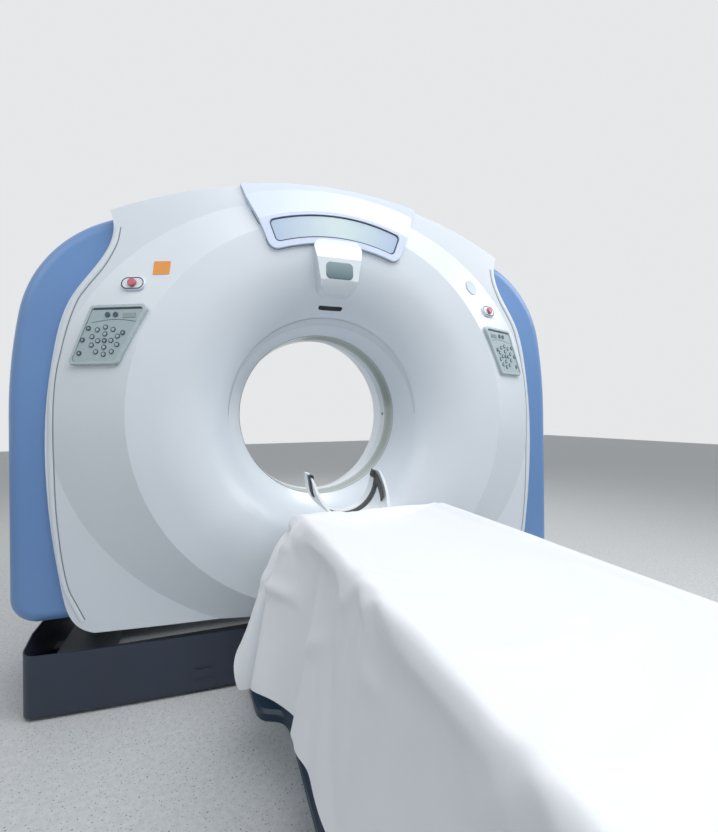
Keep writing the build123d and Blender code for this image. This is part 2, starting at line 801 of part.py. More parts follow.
# Tilting frame: a thick plate behind the rotor with a bracket and boss on each side.
def tilt_frame():
    plate = slab(
        chamfer(
            polygon(
                (-FRAME_HALF_W, FRAME_BOTTOM_Z),
                (FRAME_HALF_W, FRAME_BOTTOM_Z),
                (FRAME_HALF_W, FRAME_TOP_Z),
                (-FRAME_HALF_W, FRAME_TOP_Z),
            ).vertices(),
            FRAME_CORNER,
        ),
        FRAME_FRONT_Y,
        FRAME_REAR_Y,
    )
    plate -= rod_y(0, ISO_Z, OUTER_RACE_R, FRAME_FRONT_Y - 1, FRAME_REAR_Y + 1)
    bracket = block(
        BRACKET_IN,
        FRAME_HALF_W,
        BRACKET_FRONT_Y,
        FRAME_REAR_Y,
        ISO_Z - BRACKET_HALF_H,
        ISO_Z + BRACKET_HALF_H,
    )
    boss = rod_x(0, ISO_Z, TRUNNION_BOSS_R, BRACKET_IN, TRUNNION_BOSS_OUT)
    bore = rod_x(0, ISO_Z, TRUNNION_R, BRACKET_IN - 1, TRUNNION_BOSS_OUT + 1)
    side = bracket + boss - bore
    px, pz = pulley_centre()
    motor_hole = rod_y(px, pz, MOTOR_SHAFT_R + 3, FRAME_FRONT_Y - 1, FRAME_REAR_Y + 1)
    return plate + side + mirrored(side) - motor_hole


def trunnion_shaft():
    return rod_x(0, ISO_Z, TRUNNION_R, BRACKET_IN, TRUNNION_END)


# Upright: a thick leaning plate that carries one trunnion and leaves room for the tilt.
def upright():
    head_z = ISO_Z - 305
    web = polygon(
        (-80, head_z),
        (100, head_z),
        (UPRIGHT_FOOT_REAR, 270),
        (UPRIGHT_FOOT_REAR, BASE_FRAME_TOP),
        (UPRIGHT_FOOT_FRONT, BASE_FRAME_TOP),
        (UPRIGHT_FOOT_FRONT, UPRIGHT_KNEE_Z),
    )
    neck = polygon((-UPRIGHT_HEAD_R, ISO_Z), (UPRIGHT_HEAD_R, ISO_Z), (100, head_z), (-80, head_z))
    side = web + neck + Pos(0, ISO_Z) * Circle(UPRIGHT_HEAD_R)
    plate = cross_slab(side, UPRIGHT_IN, UPRIGHT_OUT)
    relief = Pos(118, 440) * RectangleRounded(70, 200, 30)
    plate -= cross_slab(relief, UPRIGHT_IN + 20, UPRIGHT_OUT + 1)
    plate -= rod_x(0, ISO_Z, TRUNNION_BEARING_R, UPRIGHT_IN - 1, UPRIGHT_OUT + 1)
    flange = block(
        UPRIGHT_IN - UPRIGHT_FLANGE_T,
        UPRIGHT_OUT + UPRIGHT_FLANGE_T,
        UPRIGHT_FOOT_FRONT - UPRIGHT_FLANGE_PROUD,
        UPRIGHT_FOOT_REAR + UPRIGHT_FLANGE_PROUD,
        BASE_FRAME_TOP,
        BASE_FRAME_TOP + UPRIGHT_FLANGE_T,
    )
    return plate + flange


def trunnion_bearing():
    outer = rod_x(0, ISO_Z, TRUNNION_BEARING_R, UPRIGHT_IN, UPRIGHT_OUT)
    return outer - rod_x(0, ISO_Z, TRUNNION_R + TRUNNION_FIT, UPRIGHT_IN - 1, UPRIGHT_OUT + 1)


# Tilt drive on the left upright: a worm gearbox round the trunnion, and its motor.
def tilt_gearbox():
    case = rod_x(0, ISO_Z, GEARBOX_R, UPRIGHT_OUT, GEARBOX_OUT)
    half, low = GEARBOX_ARM_HALF_W, ISO_Z - GEARBOX_ARM_DROP - WORM_CASE_R
    arm = block(UPRIGHT_OUT, GEARBOX_OUT, -half, half, low, ISO_Z)
    bore = rod_x(0, ISO_Z, TRUNNION_R + TRUNNION_FIT, UPRIGHT_OUT - 1, TRUNNION_END + 1)
    return mirrored(case + arm - bore)


def tilt_motor():
    x, z = -(UPRIGHT_OUT + GEARBOX_OUT) / 2, ISO_Z - GEARBOX_ARM_DROP
    front = GEARBOX_ARM_HALF_W
    rear = front + TILT_MOTOR_L
    flange = rod_y(x, z, TILT_MOTOR_R, front, front + 12)
    body = rod_y(x, z, TILT_MOTOR_R - 3, front, rear)
    cap = rod_y(x, z, TILT_MOTOR_R - 8, rear, rear + 18)
    return body + flange + cap


# Base: a welded frame of box beams on levelling feet.
def base_frame():
    height = (BASE_FRAME_LOW, BASE_FRAME_TOP)
    beam = block(BEAM_IN, BEAM_OUT, BEAM_FRONT_Y, BEAM_REAR_Y, *height)
    cross_front = block(-BEAM_IN, BEAM_IN, BEAM_FRONT_Y, BEAM_FRONT_Y + CROSS_BEAM_W, *height)
    cross_rear = block(-BEAM_IN, BEAM_IN, BEAM_REAR_Y - CROSS_BEAM_W, BEAM_REAR_Y, *height)
    dock_pad = block(-DOCK_HALF_W, DOCK_HALF_W, BEAM_FRONT_Y, BEAM_FRONT_Y + 60, DOCK_T, BASE_FRAME_LOW)
    frame = beam + mirrored(beam) + cross_front + cross_rear + dock_pad
    for x, y in foot_places():
        frame -= floor_slab(Pos(x, y) * Circle(FOOT_STUD_R), 0, BASE_FRAME_TOP + 1)
    for x in (-ANCHOR_SPACING / 2, ANCHOR_SPACING / 2):
        hole = Pos(x, BEAM_REAR_Y - CROSS_BEAM_W / 2) * Circle(ANCHOR_HOLE_R)
        frame -= floor_slab(hole, 0, BASE_FRAME_TOP + 1)
    return frame


def foot_places():
    x = (BEAM_IN + BEAM_OUT) / 2
    return [(side * x, y) for side in (-1, 1) for y in (BEAM_FRONT_Y + 70, BEAM_REAR_Y - 70)]


def levelling_foot(x, y):
    pad = floor_slab(Pos(x, y) * Circle(FOOT_PAD_R), 0, BASE_FRAME_LOW - 8)
    nut = floor_slab(Pos(x, y) * RegularPolygon(24, 6), BASE_FRAME_LOW - 8, BASE_FRAME_LOW)
    stud = floor_slab(Pos(x, y) * Circle(FOOT_STUD_R), BASE_FRAME_LOW, BASE_FRAME_TOP - 20)
    return chamfer(pad.faces().sort_by(Axis.Z)[-1].edges(), 6) + nut + stud


# Base covers: dark mouldings round the frame, bowed at the front, open above.
def base_plan(inset):
    bow = BASE_HALF_W**2 / (2 * BASE_FRONT_R)
    half, front, rear = BASE_HALF_W - inset, BASE_FRONT_Y + inset, BASE_REAR_Y - inset
    edge = ThreePointArc((-half, front + bow), (0, front), (half, front + bow))
    sides = Polyline((half, front + bow), (half, rear), (-half, rear), (-half, front + bow))
    face = outline(edge, sides)
    return fillet(face.vertices(), BASE_CORNER_R - inset)


def base_wall():
    tall = BASE_CHEEK_TOP
    wall = floor_slab(base_plan(0), BASE_COVER_LOW, tall) - floor_slab(
        base_plan(BASE_WALL), BASE_COVER_LOW - 1, tall + 1
    )
    over = cross_slab(
        polygon(
            (BASE_FRONT_Y - 10, BASE_COVER_TOP - 6),
            (BASE_FRONT_Y + 30, BASE_COVER_TOP),
            (BASE_FRONT_Y + 150, BASE_CHEEK_TOP),
            (BASE_REAR_Y + 10, BASE_CHEEK_TOP),
            (BASE_REAR_Y + 10, BASE_CHEEK_TOP + 20),
            (BASE_FRONT_Y - 10, BASE_CHEEK_TOP + 20),
        ),
        -BASE_HALF_W - 10,
        BASE_HALF_W + 10,
    )
    return wall - over


def base_covers():
    wall = base_wall()
    centre = wall & block(-BASE_SEAM_X, BASE_SEAM_X, -600, 0, 0, 400)
    side = wall & block(BASE_SEAM_X, BASE_HALF_W + 10, -600, BASE_REAR_Y - 60, 0, 400)
    rear = wall - block(-BASE_HALF_W, BASE_HALF_W, -600, BASE_REAR_Y - 60, 0, 400)
    clips = [
        block(x - 30, x + 30, BASE_FRONT_Y + BASE_WALL - 1, BEAM_FRONT_Y, 60, 90)
        for x in (-500, 500)
    ]
    rear_clips = [
        block(x - 30, x + 30, BEAM_REAR_Y, BASE_REAR_Y - BASE_WALL + 1, 60, 90) for x in (-500, 500)
    ]
    side_clip = block(BEAM_OUT, BASE_HALF_W - BASE_WALL + 1, 60, 120, 60, 90)
    return (
        centre + clips,
        side + side_clip,
        rear + rear_clips,
    )


# Rotor: the drum that carries the tube, the detector and their electronics.
def rotor_drum():
    hub_out = DRUM_HUB_R + DRUM_HUB_WALL
    back = DRUM_FRONT_Y + DRUM_T
    profile = polygon(
        (DRUM_HUB_R, DRUM_FRONT_Y),
        (DRUM_R, DRUM_FRONT_Y),
        (DRUM_R, DRUM_RIM_REAR_Y),
        (DRUM_R - DRUM_RIM_T, DRUM_RIM_REAR_Y),
        (DRUM_R - DRUM_RIM_T, back),
        (hub_out, back),
        (hub_out, DRUM_HUB_REAR_Y),
        (DRUM_HUB_R, DRUM_HUB_REAR_Y),
    )
    return turned(profile)


def main_bearing_inner():
    hub_out = DRUM_HUB_R + DRUM_HUB_WALL
    return ring(hub_out, hub_out + RACE_T, RACE_FRONT_Y, FRAME_REAR_Y)


def main_bearing_outer():
    inner = DRUM_HUB_R + DRUM_HUB_WALL + RACE_T + RACE_GAP
    return ring(inner, OUTER_RACE_R, FRAME_FRONT_Y - 40, FRAME_REAR_Y)


def slip_ring():
    hub_out = DRUM_HUB_R + DRUM_HUB_WALL
    rear = SLIP_RING_FRONT_Y + SLIP_RING_T
    disc = ring(hub_out, SLIP_RING_R, SLIP_RING_FRONT_Y, rear)
    for i in range(SLIP_TRACKS):
        inner = hub_out + SLIP_TRACK_START + i * SLIP_TRACK_STEP
        disc -= ring(inner, inner + SLIP_TRACK_W, SLIP_RING_FRONT_Y - 1, SLIP_RING_FRONT_Y + 3)
    return disc


def brush_block():
    hub_out = DRUM_HUB_R + DRUM_HUB_WALL
    holder_rear = SLIP_RING_FRONT_Y - BRUSH_REACH
    case = block(
        -BRUSH_BLOCK_W / 2,
        BRUSH_BLOCK_W / 2,
        FRAME_REAR_Y,
        holder_rear,
        hub_out + RACE_T,
        SLIP_RING_R + 40,
    )
    for i in range(SLIP_TRACKS):
        r = hub_out + SLIP_TRACK_START + i * SLIP_TRACK_STEP + 1
        case += block(-12, 12, holder_rear, SLIP_RING_FRONT_Y - 1, r, r + SLIP_TRACK_W - 2)
    return Pos(0, 0, ISO_Z) * Rot(0, 30, 0) * case


def fan_sector(inner, outer, front, back):
    """A sector of a ring about the focal spot, facing it across the bore."""
    reach = radians(FAN_HALF_ANGLE)
    points = []
    for r in (inner, outer):
        points.append([(r * sin(a), -r * cos(a)) for a in (-reach, 0, reach)])
    near, far = points
    ends = [Line(near[0], far[0]), Line(near[2], far[2])]
    face = outline(ThreePointArc(*near), ThreePointArc(*far), *ends)
    return slab(Pos(0, ISO_Z + FOCAL_R) * face, front, back)


def detector_arc():
    return fan_sector(SCAN_RADIUS, SCAN_RADIUS + DETECTOR_T, -DETECTOR_HALF_W, DRUM_FRONT_Y)


def data_unit():
    inner = SCAN_RADIUS + DETECTOR_T
    return fan_sector(inner, inner + DATA_UNIT_T, -DETECTOR_HALF_W - 20, DRUM_FRONT_Y)


def xray_tube():
    z = ISO_Z + TUBE_AXIS_R
    body = rod_y(0, z, TUBE_R, TUBE_FRONT_Y, DRUM_FRONT_Y)
    end = rod_y(0, z, TUBE_R - 14, TUBE_FRONT_Y - 20, TUBE_FRONT_Y)
    collar = rod_y(0, z, TUBE_R + 6, TUBE_FRONT_Y + 30, TUBE_FRONT_Y + 44)
    return body + end + collar


def collimator():
    top_r = TUBE_AXIS_R - TUBE_R - 8
    half = COLLIMATOR_W / 2
    box = block(-half, half, -55, DRUM_FRONT_Y, ISO_Z + COLLIMATOR_IN_R, ISO_Z + top_r)
    slit = block(-half + 20, half - 20, -8, 8, ISO_Z + COLLIMATOR_IN_R - 1, ISO_Z + top_r + 1)
    return box - slit


def rotor_box(width, inner, outer, front, turn):
    """A box on the drum at an angle round the bore."""
    box = block(-width / 2, width / 2, front, DRUM_FRONT_Y, inner, outer)
    box = chamfer(box.faces().sort_by(Axis.Y)[0].edges(), 10)
    return Pos(0, 0, ISO_Z) * Rot(0, turn, 0) * box


def generator(turn):
    return rotor_box(GENERATOR_W, GENERATOR_IN_R, GENERATOR_OUT_R, GENERATOR_FRONT_Y, turn)


def heat_exchanger():
    core = block(
        -EXCHANGER_W / 2,
        EXCHANGER_W / 2,
        EXCHANGER_FRONT_Y,
        DRUM_FRONT_Y,
        EXCHANGER_IN_R,
        EXCHANGER_OUT_R,
    )
    pitch = EXCHANGER_W / FIN_COUNT
    for i in range(FIN_COUNT - 1):
        x = -EXCHANGER_W / 2 + (i + 1) * pitch
        core -= block(
            x - pitch / 4,
            x + pitch / 4,
            EXCHANGER_FRONT_Y - 1,
            EXCHANGER_FRONT_Y + 60,
            EXCHANGER_IN_R - 1,
            EXCHANGER_OUT_R + 1,
        )
    return Pos(0, 0, ISO_Z) * Rot(0, 52, 0) * core


# Rotor drive: a motor on the frame turns the drum by a flat belt.
def pulley_centre():
    angle = radians(PULLEY_ANGLE)
    return PULLEY_DISTANCE * cos(angle), ISO_Z + PULLEY_DISTANCE * sin(angle)


def belt_loop(shift):
    px, pz = pulley_centre()
    round_drum = Pos(0, ISO_Z) * Circle(DRUM_R + shift)
    round_pulley = Pos(px, pz) * Circle(PULLEY_R + shift)
    return make_hull([*round_drum.edges(), *round_pulley.edges()])


def drive_belt():
    loop = belt_loop(BELT_GAP + BELT_T) - belt_loop(BELT_GAP)
    return slab(loop, BELT_REAR_Y - BELT_W, BELT_REAR_Y)


def drive_pulley():
    px, pz = pulley_centre()
    rim = rod_y(px, pz, PULLEY_R, BELT_REAR_Y - BELT_W, BELT_REAR_Y)
    shaft = rod_y(px, pz, MOTOR_SHAFT_R, BELT_REAR_Y - BELT_W - 8, FRAME_REAR_Y + 40)
    key_slot = block(px - 4, px + 4, 0, BELT_REAR_Y - BELT_W, pz + 8, pz + 20)
    return rim + shaft - key_slot


def drive_motor():
    px, pz = pulley_centre()
    body = rod_y(px, pz, MOTOR_R, FRAME_REAR_Y, FRAME_REAR_Y + MOTOR_L)
    flange = block(
        px - MOTOR_R, px + MOTOR_R, FRAME_REAR_Y, FRAME_REAR_Y + 14, pz - MOTOR_R, pz + MOTOR_R
    )
    bore = rod_y(px, pz, MOTOR_SHAFT_R + MOTOR_SHAFT_GAP, FRAME_REAR_Y - 1, FRAME_REAR_Y + 44)
    return body + flange - bore


# Table foot: a low shoe on the floor that widens towards the gantry.
def foot_plan(inset):
    half, tail = FOOT_HALF_W - inset, FOOT_TAIL_HALF_W - inset
    front = FOOT_FRONT_Y - inset
    side = Spline(
        [(half - 18, front), (half, front - 60), (half - 32, -505), (tail, FOOT_TAIL_START_Y)],
        tangents=[(1, -0.2), (0, -1)],
    )
    end = FOOT_TAIL_END_Y + tail
    tail_side = Line((tail, FOOT_TAIL_START_Y), (tail, end))
    tip = ThreePointArc((tail, end), (0, FOOT_TAIL_END_Y + inset), (-tail, end))
    front_edge = Line((-half + 18, front), (half - 18, front))
    both = [side, tail_side]
    others = [mirror(edge, about=Plane.YZ) for edge in both]
    return outline(front_edge, *both, tip, *others)


def docking_plate():
    """The floor plate that sets the table square to the gantry."""
    return block(-DOCK_HALF_W, DOCK_HALF_W, FOOT_FRONT_Y - DOCK_UNDER_FOOT, DOCK_REAR_Y, 0, DOCK_T)


def table_foot():
    plate = floor_slab(foot_plan(0), 0, FOOT_PLATE_H)
    plate = chamfer(plate.edges().group_by(Axis.Z)[-1], 10)
    return plate - docking_plate()


def table_foot_block():
    base = Pos(0, 0, FOOT_PLATE_H) * block_plan(0)
    top = Pos(0, 0, FOOT_BLOCK_TOP) * block_plan(34)
    return loft([base, top])


def block_plan(inset):
    half = FOOT_HALF_W - FOOT_BLOCK_INSET - inset
    tail = SKIRT_HALF_W - inset / 3
    front, rear = FOOT_FRONT_Y - 22 - inset, SKIRT_FRONT_Y + SOFT_GAP
    shape = polygon((-half, front), (half, front), (tail, rear), (-tail, rear))
    return fillet(shape.vertices().sort_by(Axis.Y)[-2:], 46)


# Pedestal: three telescoping skirts round two lifting columns.
def skirt_plan(shrink):
    width = 2 * (SKIRT_HALF_W - shrink)
    length = SKIRT_FRONT_Y - SKIRT_REAR_Y - 2 * shrink
    mid_y = (SKIRT_FRONT_Y + SKIRT_REAR_Y) / 2
    return Pos(0, mid_y) * RectangleRounded(width, length, SKIRT_CORNER_R - shrink)


def skirt(step, low, high):
    """One stage; a stage inside another has a lip at its foot that glides in it."""
    shrink = step * SKIRT_STEP
    inner = skirt_plan(shrink + SKIRT_WALL)
    wall = floor_slab(skirt_plan(shrink) - inner, low, high)
    if step == 0:
        return wall
    lip = skirt_plan(shrink - SKIRT_STEP + SKIRT_WALL + SKIRT_LIP_GAP) - inner
    return wall + floor_slab(lip, low, low + SKIRT_LIP_H)


def lift_places():
    return [LIFT_Y_FRONT, LIFT_Y_REAR]


def lift_tube(y):
    tube = floor_slab(Pos(0, y) * Circle(LIFT_TUBE_R), FOOT_PLATE_H, LIFT_TUBE_TOP)
    bore = Pos(0, y) * Circle(LIFT_ROD_R + LIFT_FIT)
    return tube - floor_slab(bore, FOOT_PLATE_H + LIFT_TUBE_FLOOR, LIFT_TUBE_TOP + 1)


def lift_rod(y):
    return floor_slab(Pos(0, y) * Circle(LIFT_ROD_R), LIFT_ROD_LOW, TABLE_FRAME_LOW)


# Table top: an extruded deck with cells in it, which carries the glides for the cradle.
def table_top_frame():
    half, wall = TABLE_FRAME_HALF_W, TABLE_FRAME_WALL
    mid_z = TABLE_FRAME_LOW + TABLE_FRAME_H / 2
    section = Pos(0, mid_z) * RectangleRounded(2 * half, TABLE_FRAME_H, 10)
    pitch = (2 * half - wall) / TABLE_FRAME_CELLS
    for i in range(TABLE_FRAME_CELLS):
        x = -half + wall / 2 + (i + 0.5) * pitch
        section -= Pos(x, mid_z) * RectangleRounded(pitch - wall, TABLE_FRAME_H - 2 * wall, 5)
    return slab(section, TABLE_END_Y, TABLE_FRAME_FRONT_Y)


def cradle_glide(side, y):
    """A low-friction block that a rail of the cradle slides on."""
    inner, outer = GLIDE_X - GLIDE_W / 2, GLIDE_X + GLIDE_W / 2
    top = RAIL_BOTTOM_Z - GLIDE_GAP
    low = TABLE_FRAME_LOW + TABLE_FRAME_H
    pad = block(inner, outer, y - GLIDE_L / 2, y + GLIDE_L / 2, low, top)
    pad = chamfer(pad.edges().filter_by(Axis.X).group_by(Axis.Z)[-1], 4)
    return pad if side > 0 else mirrored(pad)


def glide_places():
    first, last = TABLE_FRAME_FRONT_Y - 60, TABLE_END_Y + 200
    return [first + i * (last - first) / (GLIDE_COUNT - 1) for i in range(GLIDE_COUNT)]


# The trough of the cradle, the pad and the sheet are arcs about one line.
TROUGH_R = (CRADLE_HALF_W**2 + CRADLE_EDGE_RISE**2) / (2 * CRADLE_EDGE_RISE)


def trough_z(height, x):
    """Height of the trough's surface, raised by a height, at x."""
    return CRADLE_LOW_Z + TROUGH_R - sqrt((TROUGH_R - height) ** 2 - x**2)


def trough_arc(height, half_w):
    edge_z = trough_z(height, half_w)
    return ThreePointArc((-half_w, edge_z), (0, CRADLE_LOW_Z + height), (half_w, edge_z))


def trough(low, high, half_w, rear, front):
    """A layer of the trough between two heights above the cradle's surface."""
    ends = [
        Line((x, trough_z(low, half_w)), (x, trough_z(high, half_w))) for x in (-half_w, half_w)
    ]
    return slab(outline(trough_arc(low, half_w), trough_arc(high, half_w), *ends), rear, front)


def cradle():
    board = trough(-CRADLE_T, 0, CRADLE_HALF_W, CRADLE_REAR_Y, CRADLE_FRONT_Y)
    rail = block(
        GLIDE_X - 16, GLIDE_X + 16, CRADLE_REAR_Y, CRADLE_FRONT_Y, RAIL_BOTTOM_Z, CRADLE_LOW_Z
    )
    rail -= trough(-CRADLE_T / 2, CRADLE_T * 3, CRADLE_HALF_W, CRADLE_REAR_Y - 10, 0)
    return board + rail + mirrored(rail)


def cradle_pad():
    return trough(SOFT_GAP, SOFT_GAP + PAD_T, CRADLE_HALF_W - 8, PAD_REAR_Y, PAD_FRONT_Y)


# Head holder: an open-ended trough bolted to the front end of the cradle.
def holder_outline(inset):
    half, low, high = HOLDER_HALF_W - inset, HOLDER_LOW_Z + inset, HOLDER_TOP_Z
    bend_z = low + HOLDER_BEND_RISE
    rim = half + HOLDER_LEAN
    base = ThreePointArc((-half, bend_z), (0, low), (half, bend_z))
    return outline(base, Polyline((half, bend_z), (rim, high), (-rim, high), (-half, bend_z)))


def head_holder():
    rear, front = CRADLE_FRONT_Y, HOLDER_FRONT_Y
    shell = slab(holder_outline(0) - holder_outline(HOLDER_WALL), rear, front)
    # the side walls fall away towards the cradle in one sweep
    brow = Spline(
        (rear - 1, HOLDER_LOW_Z + HOLDER_HEEL_H),
        (SHEET_FRONT_Y, HOLDER_LOW_Z + HOLDER_HEEL_H + 2),
        (HOLDER_SWEEP_LOW_Y, HOLDER_LOW_Z + 2 * HOLDER_HEEL_H),
        (HOLDER_SWEEP_HIGH_Y, HOLDER_TOP_Z - 12),
        (front + 1, HOLDER_TOP_Z - 4),
    )
    sky = HOLDER_TOP_Z + 1
    start, end = brow @ 0, brow @ 1
    above = Polyline((end.X, end.Y), (front + 1, sky), (rear - 1, sky), (start.X, start.Y))
    shell -= cross_slab(outline(brow, above), -GANTRY_W, GANTRY_W)
    heel = slab(holder_outline(0), rear, rear + HOLDER_HEEL_T)
    heel &= block(
        -HOLDER_HALF_W, HOLDER_HALF_W, rear, rear + HOLDER_HEEL_T, 0, HOLDER_LOW_Z + HOLDER_HEEL_H
    )
    return shell + heel


def head_straps():
    liner = holder_outline(HOLDER_WALL + SOFT_GAP) - holder_outline(HOLDER_WALL + SOFT_GAP + STRAP_T)
    band = slab(liner, STRAP_Y - STRAP_W, STRAP_Y)
    return band & block(-300, 300, STRAP_Y - STRAP_W, STRAP_Y, 0, HOLDER_TOP_Z - 20)


# Sheet: draped over the pad, with its sides hanging and flaring a little.
def sheet_section(drop, flare, inset):
    height = PAD_T + 2 * SOFT_GAP + SHEET_T - inset
    half = CRADLE_HALF_W + SHEET_OVERHANG - inset
    crest = trough_arc(height, half)
    high = trough_z(height, half)
    low = high - drop + inset
    sides = [
        Line((half, high), (half + flare, low)),
        Line((-half - flare, low), (-half, high)),
    ]
    foot = Line((half + flare, low), (-half - flare, low))
    return outline(crest, *sides, foot)


def sheet():
    rear, front = SHEET_REAR_Y, SHEET_FRONT_Y
    mid = front - 760

    def section_at(y, drop, flare, inset):
        plane = Plane(origin=(0, y, 0), x_dir=(1, 0, 0), z_dir=(0, -1, 0))
        return plane * sheet_section(drop, flare, inset)

    def body(inset, extra):
        fore = loft(
            [
                section_at(front + extra, SHEET_DROP_FRONT + extra, SHEET_FLARE_FRONT, inset),
                section_at(mid, SHEET_DROP_REAR + extra, SHEET_FLARE_REAR, inset),
            ],
            ruled=True,
        )
        aft = slab(sheet_section(SHEET_DROP_REAR + extra, SHEET_FLARE_REAR, inset), rear - extra, mid)
        return fore + aft

    return body(0, 0) - body(SHEET_T, 20)


write("front_cover", front_cover())
right = side_cover()
write("side_cover_right", right)
write("side_cover_left", mirrored(right))
write("top_cover", top_cover())
write("bottom_cover", bottom_cover())
write("rear_cover", rear_cover())
write("scan_window", scan_window())
write("rear_bore_ring", rear_bore_ring())
write("display_console", display_console())
write("display_screen", display_screen())
write("hood_window", hood_window())
write("light_slot", light_slot())
write("bore_trim", bore_trim())
panel, pad = control_panel(), keypad()
write("control_panels", panel, mirrored(panel))
write("keypads", pad, mirrored(pad))
bezel, button = stop_bezel(), stop_button()
write("stop_bezels", bezel, mirrored(bezel))
write("stop_button_right", button)
write("stop_button_left", mirrored(button))

write("tilt_frame", tilt_frame())
shaft, post, bearing = trunnion_shaft(), upright(), trunnion_bearing()
write("trunnion_shafts", shaft, mirrored(shaft))
write("upright_right", post)
write("upright_left", mirrored(post))
write("trunnion_bearings", bearing, mirrored(bearing))
write("tilt_gearbox", tilt_gearbox())
write("tilt_motor", tilt_motor())
write("base_frame", base_frame())
write("levelling_feet", *[levelling_foot(x, y) for x, y in foot_places()])
centre_cover, end_cover, back_cover = base_covers()
write("base_front_cover", centre_cover)
write("base_end_cover_right", end_cover)
write("base_end_cover_left", mirrored(end_cover))
write("base_rear_cover", back_cover)

write("rotor_drum", rotor_drum())
write("main_bearing_inner", main_bearing_inner())
write("main_bearing_outer", main_bearing_outer())
write("slip_ring", slip_ring())
write("brush_block", brush_block())
write("detector_arc", detector_arc())
write("data_unit", data_unit())
write("xray_tube", xray_tube())
write("collimator", collimator())
write("generators", generator(105), generator(-105))
write("heat_exchanger", heat_exchanger())
write("drive_belt", drive_belt())
write("drive_pulley", drive_pulley())
write("drive_motor", drive_motor())

write("docking_plate", docking_plate())
write("table_foot", table_foot())
write("table_foot_block", table_foot_block())
write("lower_skirt", skirt(0, FOOT_PLATE_H, LOWER_SKIRT_TOP))
write("middle_skirt", skirt(1, MIDDLE_SKIRT_LOW, MIDDLE_SKIRT_TOP))
write("upper_skirt", skirt(2, UPPER_SKIRT_LOW, TABLE_FRAME_LOW))
write("lift_tubes", *[lift_tube(y) for y in lift_places()])
write("lift_rods", *[lift_rod(y) for y in lift_places()])
write("table_top_frame", table_top_frame())
write("cradle_glides", *[cradle_glide(side, y) for side in (-1, 1) for y in glide_places()])
write("cradle", cradle())
write("cradle_pad", cradle_pad())
write("head_holder", head_holder())
write("head_straps", head_straps())
write("sheet", sheet())
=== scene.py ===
# CT scanner with a patient table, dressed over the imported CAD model.

import math

import bmesh
import bpy
from mathutils import Matrix, Vector, noise
from mathutils.bvhtree import BVHTree


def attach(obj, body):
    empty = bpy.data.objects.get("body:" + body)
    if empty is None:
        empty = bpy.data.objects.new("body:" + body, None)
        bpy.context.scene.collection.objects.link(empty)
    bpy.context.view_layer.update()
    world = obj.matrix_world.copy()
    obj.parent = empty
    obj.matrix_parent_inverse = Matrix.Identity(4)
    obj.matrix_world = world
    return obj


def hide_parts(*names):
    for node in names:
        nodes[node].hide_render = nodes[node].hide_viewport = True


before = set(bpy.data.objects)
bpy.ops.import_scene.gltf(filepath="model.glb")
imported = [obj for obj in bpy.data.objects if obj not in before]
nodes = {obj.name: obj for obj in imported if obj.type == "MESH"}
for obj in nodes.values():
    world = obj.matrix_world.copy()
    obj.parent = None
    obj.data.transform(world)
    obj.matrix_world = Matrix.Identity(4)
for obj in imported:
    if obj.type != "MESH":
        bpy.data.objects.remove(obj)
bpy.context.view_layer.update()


# Camera: set where the photograph was taken, at standing chest height to the left of the
# table, with the same lens and the same small roll.
CAMERA_AT = (-0.4748, -1.9714, 1.0015)
YAW, PITCH, ROLL = 0.3307, 0.0011, -0.01007
FOCAL_PX, FRAME_H_PX = 439.2, 832
FRAME_SHIFT = -0.0022
forward = Vector((math.sin(YAW) * math.cos(PITCH), math.cos(YAW) * math.cos(PITCH), math.sin(PITCH)))
level = Vector((math.cos(YAW), -math.sin(YAW), 0.0))
upright = level.cross(forward)
right = level * math.cos(ROLL) + upright * math.sin(ROLL)
up = upright * math.cos(ROLL) - level * math.sin(ROLL)
lens = bpy.data.cameras.new("camera")
lens.sensor_fit = "VERTICAL"
lens.sensor_height = 36.0
lens.lens = FOCAL_PX / FRAME_H_PX * lens.sensor_height
lens.shift_y = FRAME_SHIFT
lens.clip_start = 0.02
camera = bpy.data.objects.new("camera", lens)
camera.matrix_world = Matrix.Translation(CAMERA_AT) @ Matrix((right, up, -forward)).transposed().to_4x4()
bpy.context.scene.collection.objects.link(camera)
bpy.context.scene.camera = camera
bpy.context.scene.view_settings.view_transform = "Standard"


# Floor and light: a plain pale studio floor under a soft sky, with broad lamps above, as
# ceiling panels light the real room.
def linear(code):
    """An sRGB hex colour as linear values with full alpha."""
    parts = [int(code[i : i + 2], 16) / 255 for i in (1, 3, 5)]
    return [c / 12.92 if c <= 0.04045 else ((c + 0.055) / 1.055) ** 2.4 for c in parts] + [1.0]


def add(material, kind, values=None, links=None, **settings):
    """Adds a node to a material or a world, with its settings, values and links."""
    made = material.node_tree.nodes.new("ShaderNode" + kind)
    for name, value in settings.items():
        setattr(made, name, value)
    for name, value in (values or {}).items():
        made.inputs[name].default_value = value
    for name, source in (links or {}).items():
        material.node_tree.links.new(source, made.inputs[name])
    return made


def new_finish(name, colour, roughness, **more):
    """A material with its shader, ready for a pattern: colour, roughness and more sockets."""
    material = bpy.data.materials.new(name)
    material.use_nodes = True
    shader = material.node_tree.nodes["Principled BSDF"]
    shader.inputs["Base Color"].default_value = linear(colour)
    shader.inputs["Roughness"].default_value = roughness
    for key, value in more.items():
        shader.inputs[key.replace("_", " ").title().replace("Ior", "IOR")].default_value = value
    return material, shader


def link(material, source, target):
    """Joins an output to a socket."""
    material.node_tree.links.new(source, target)


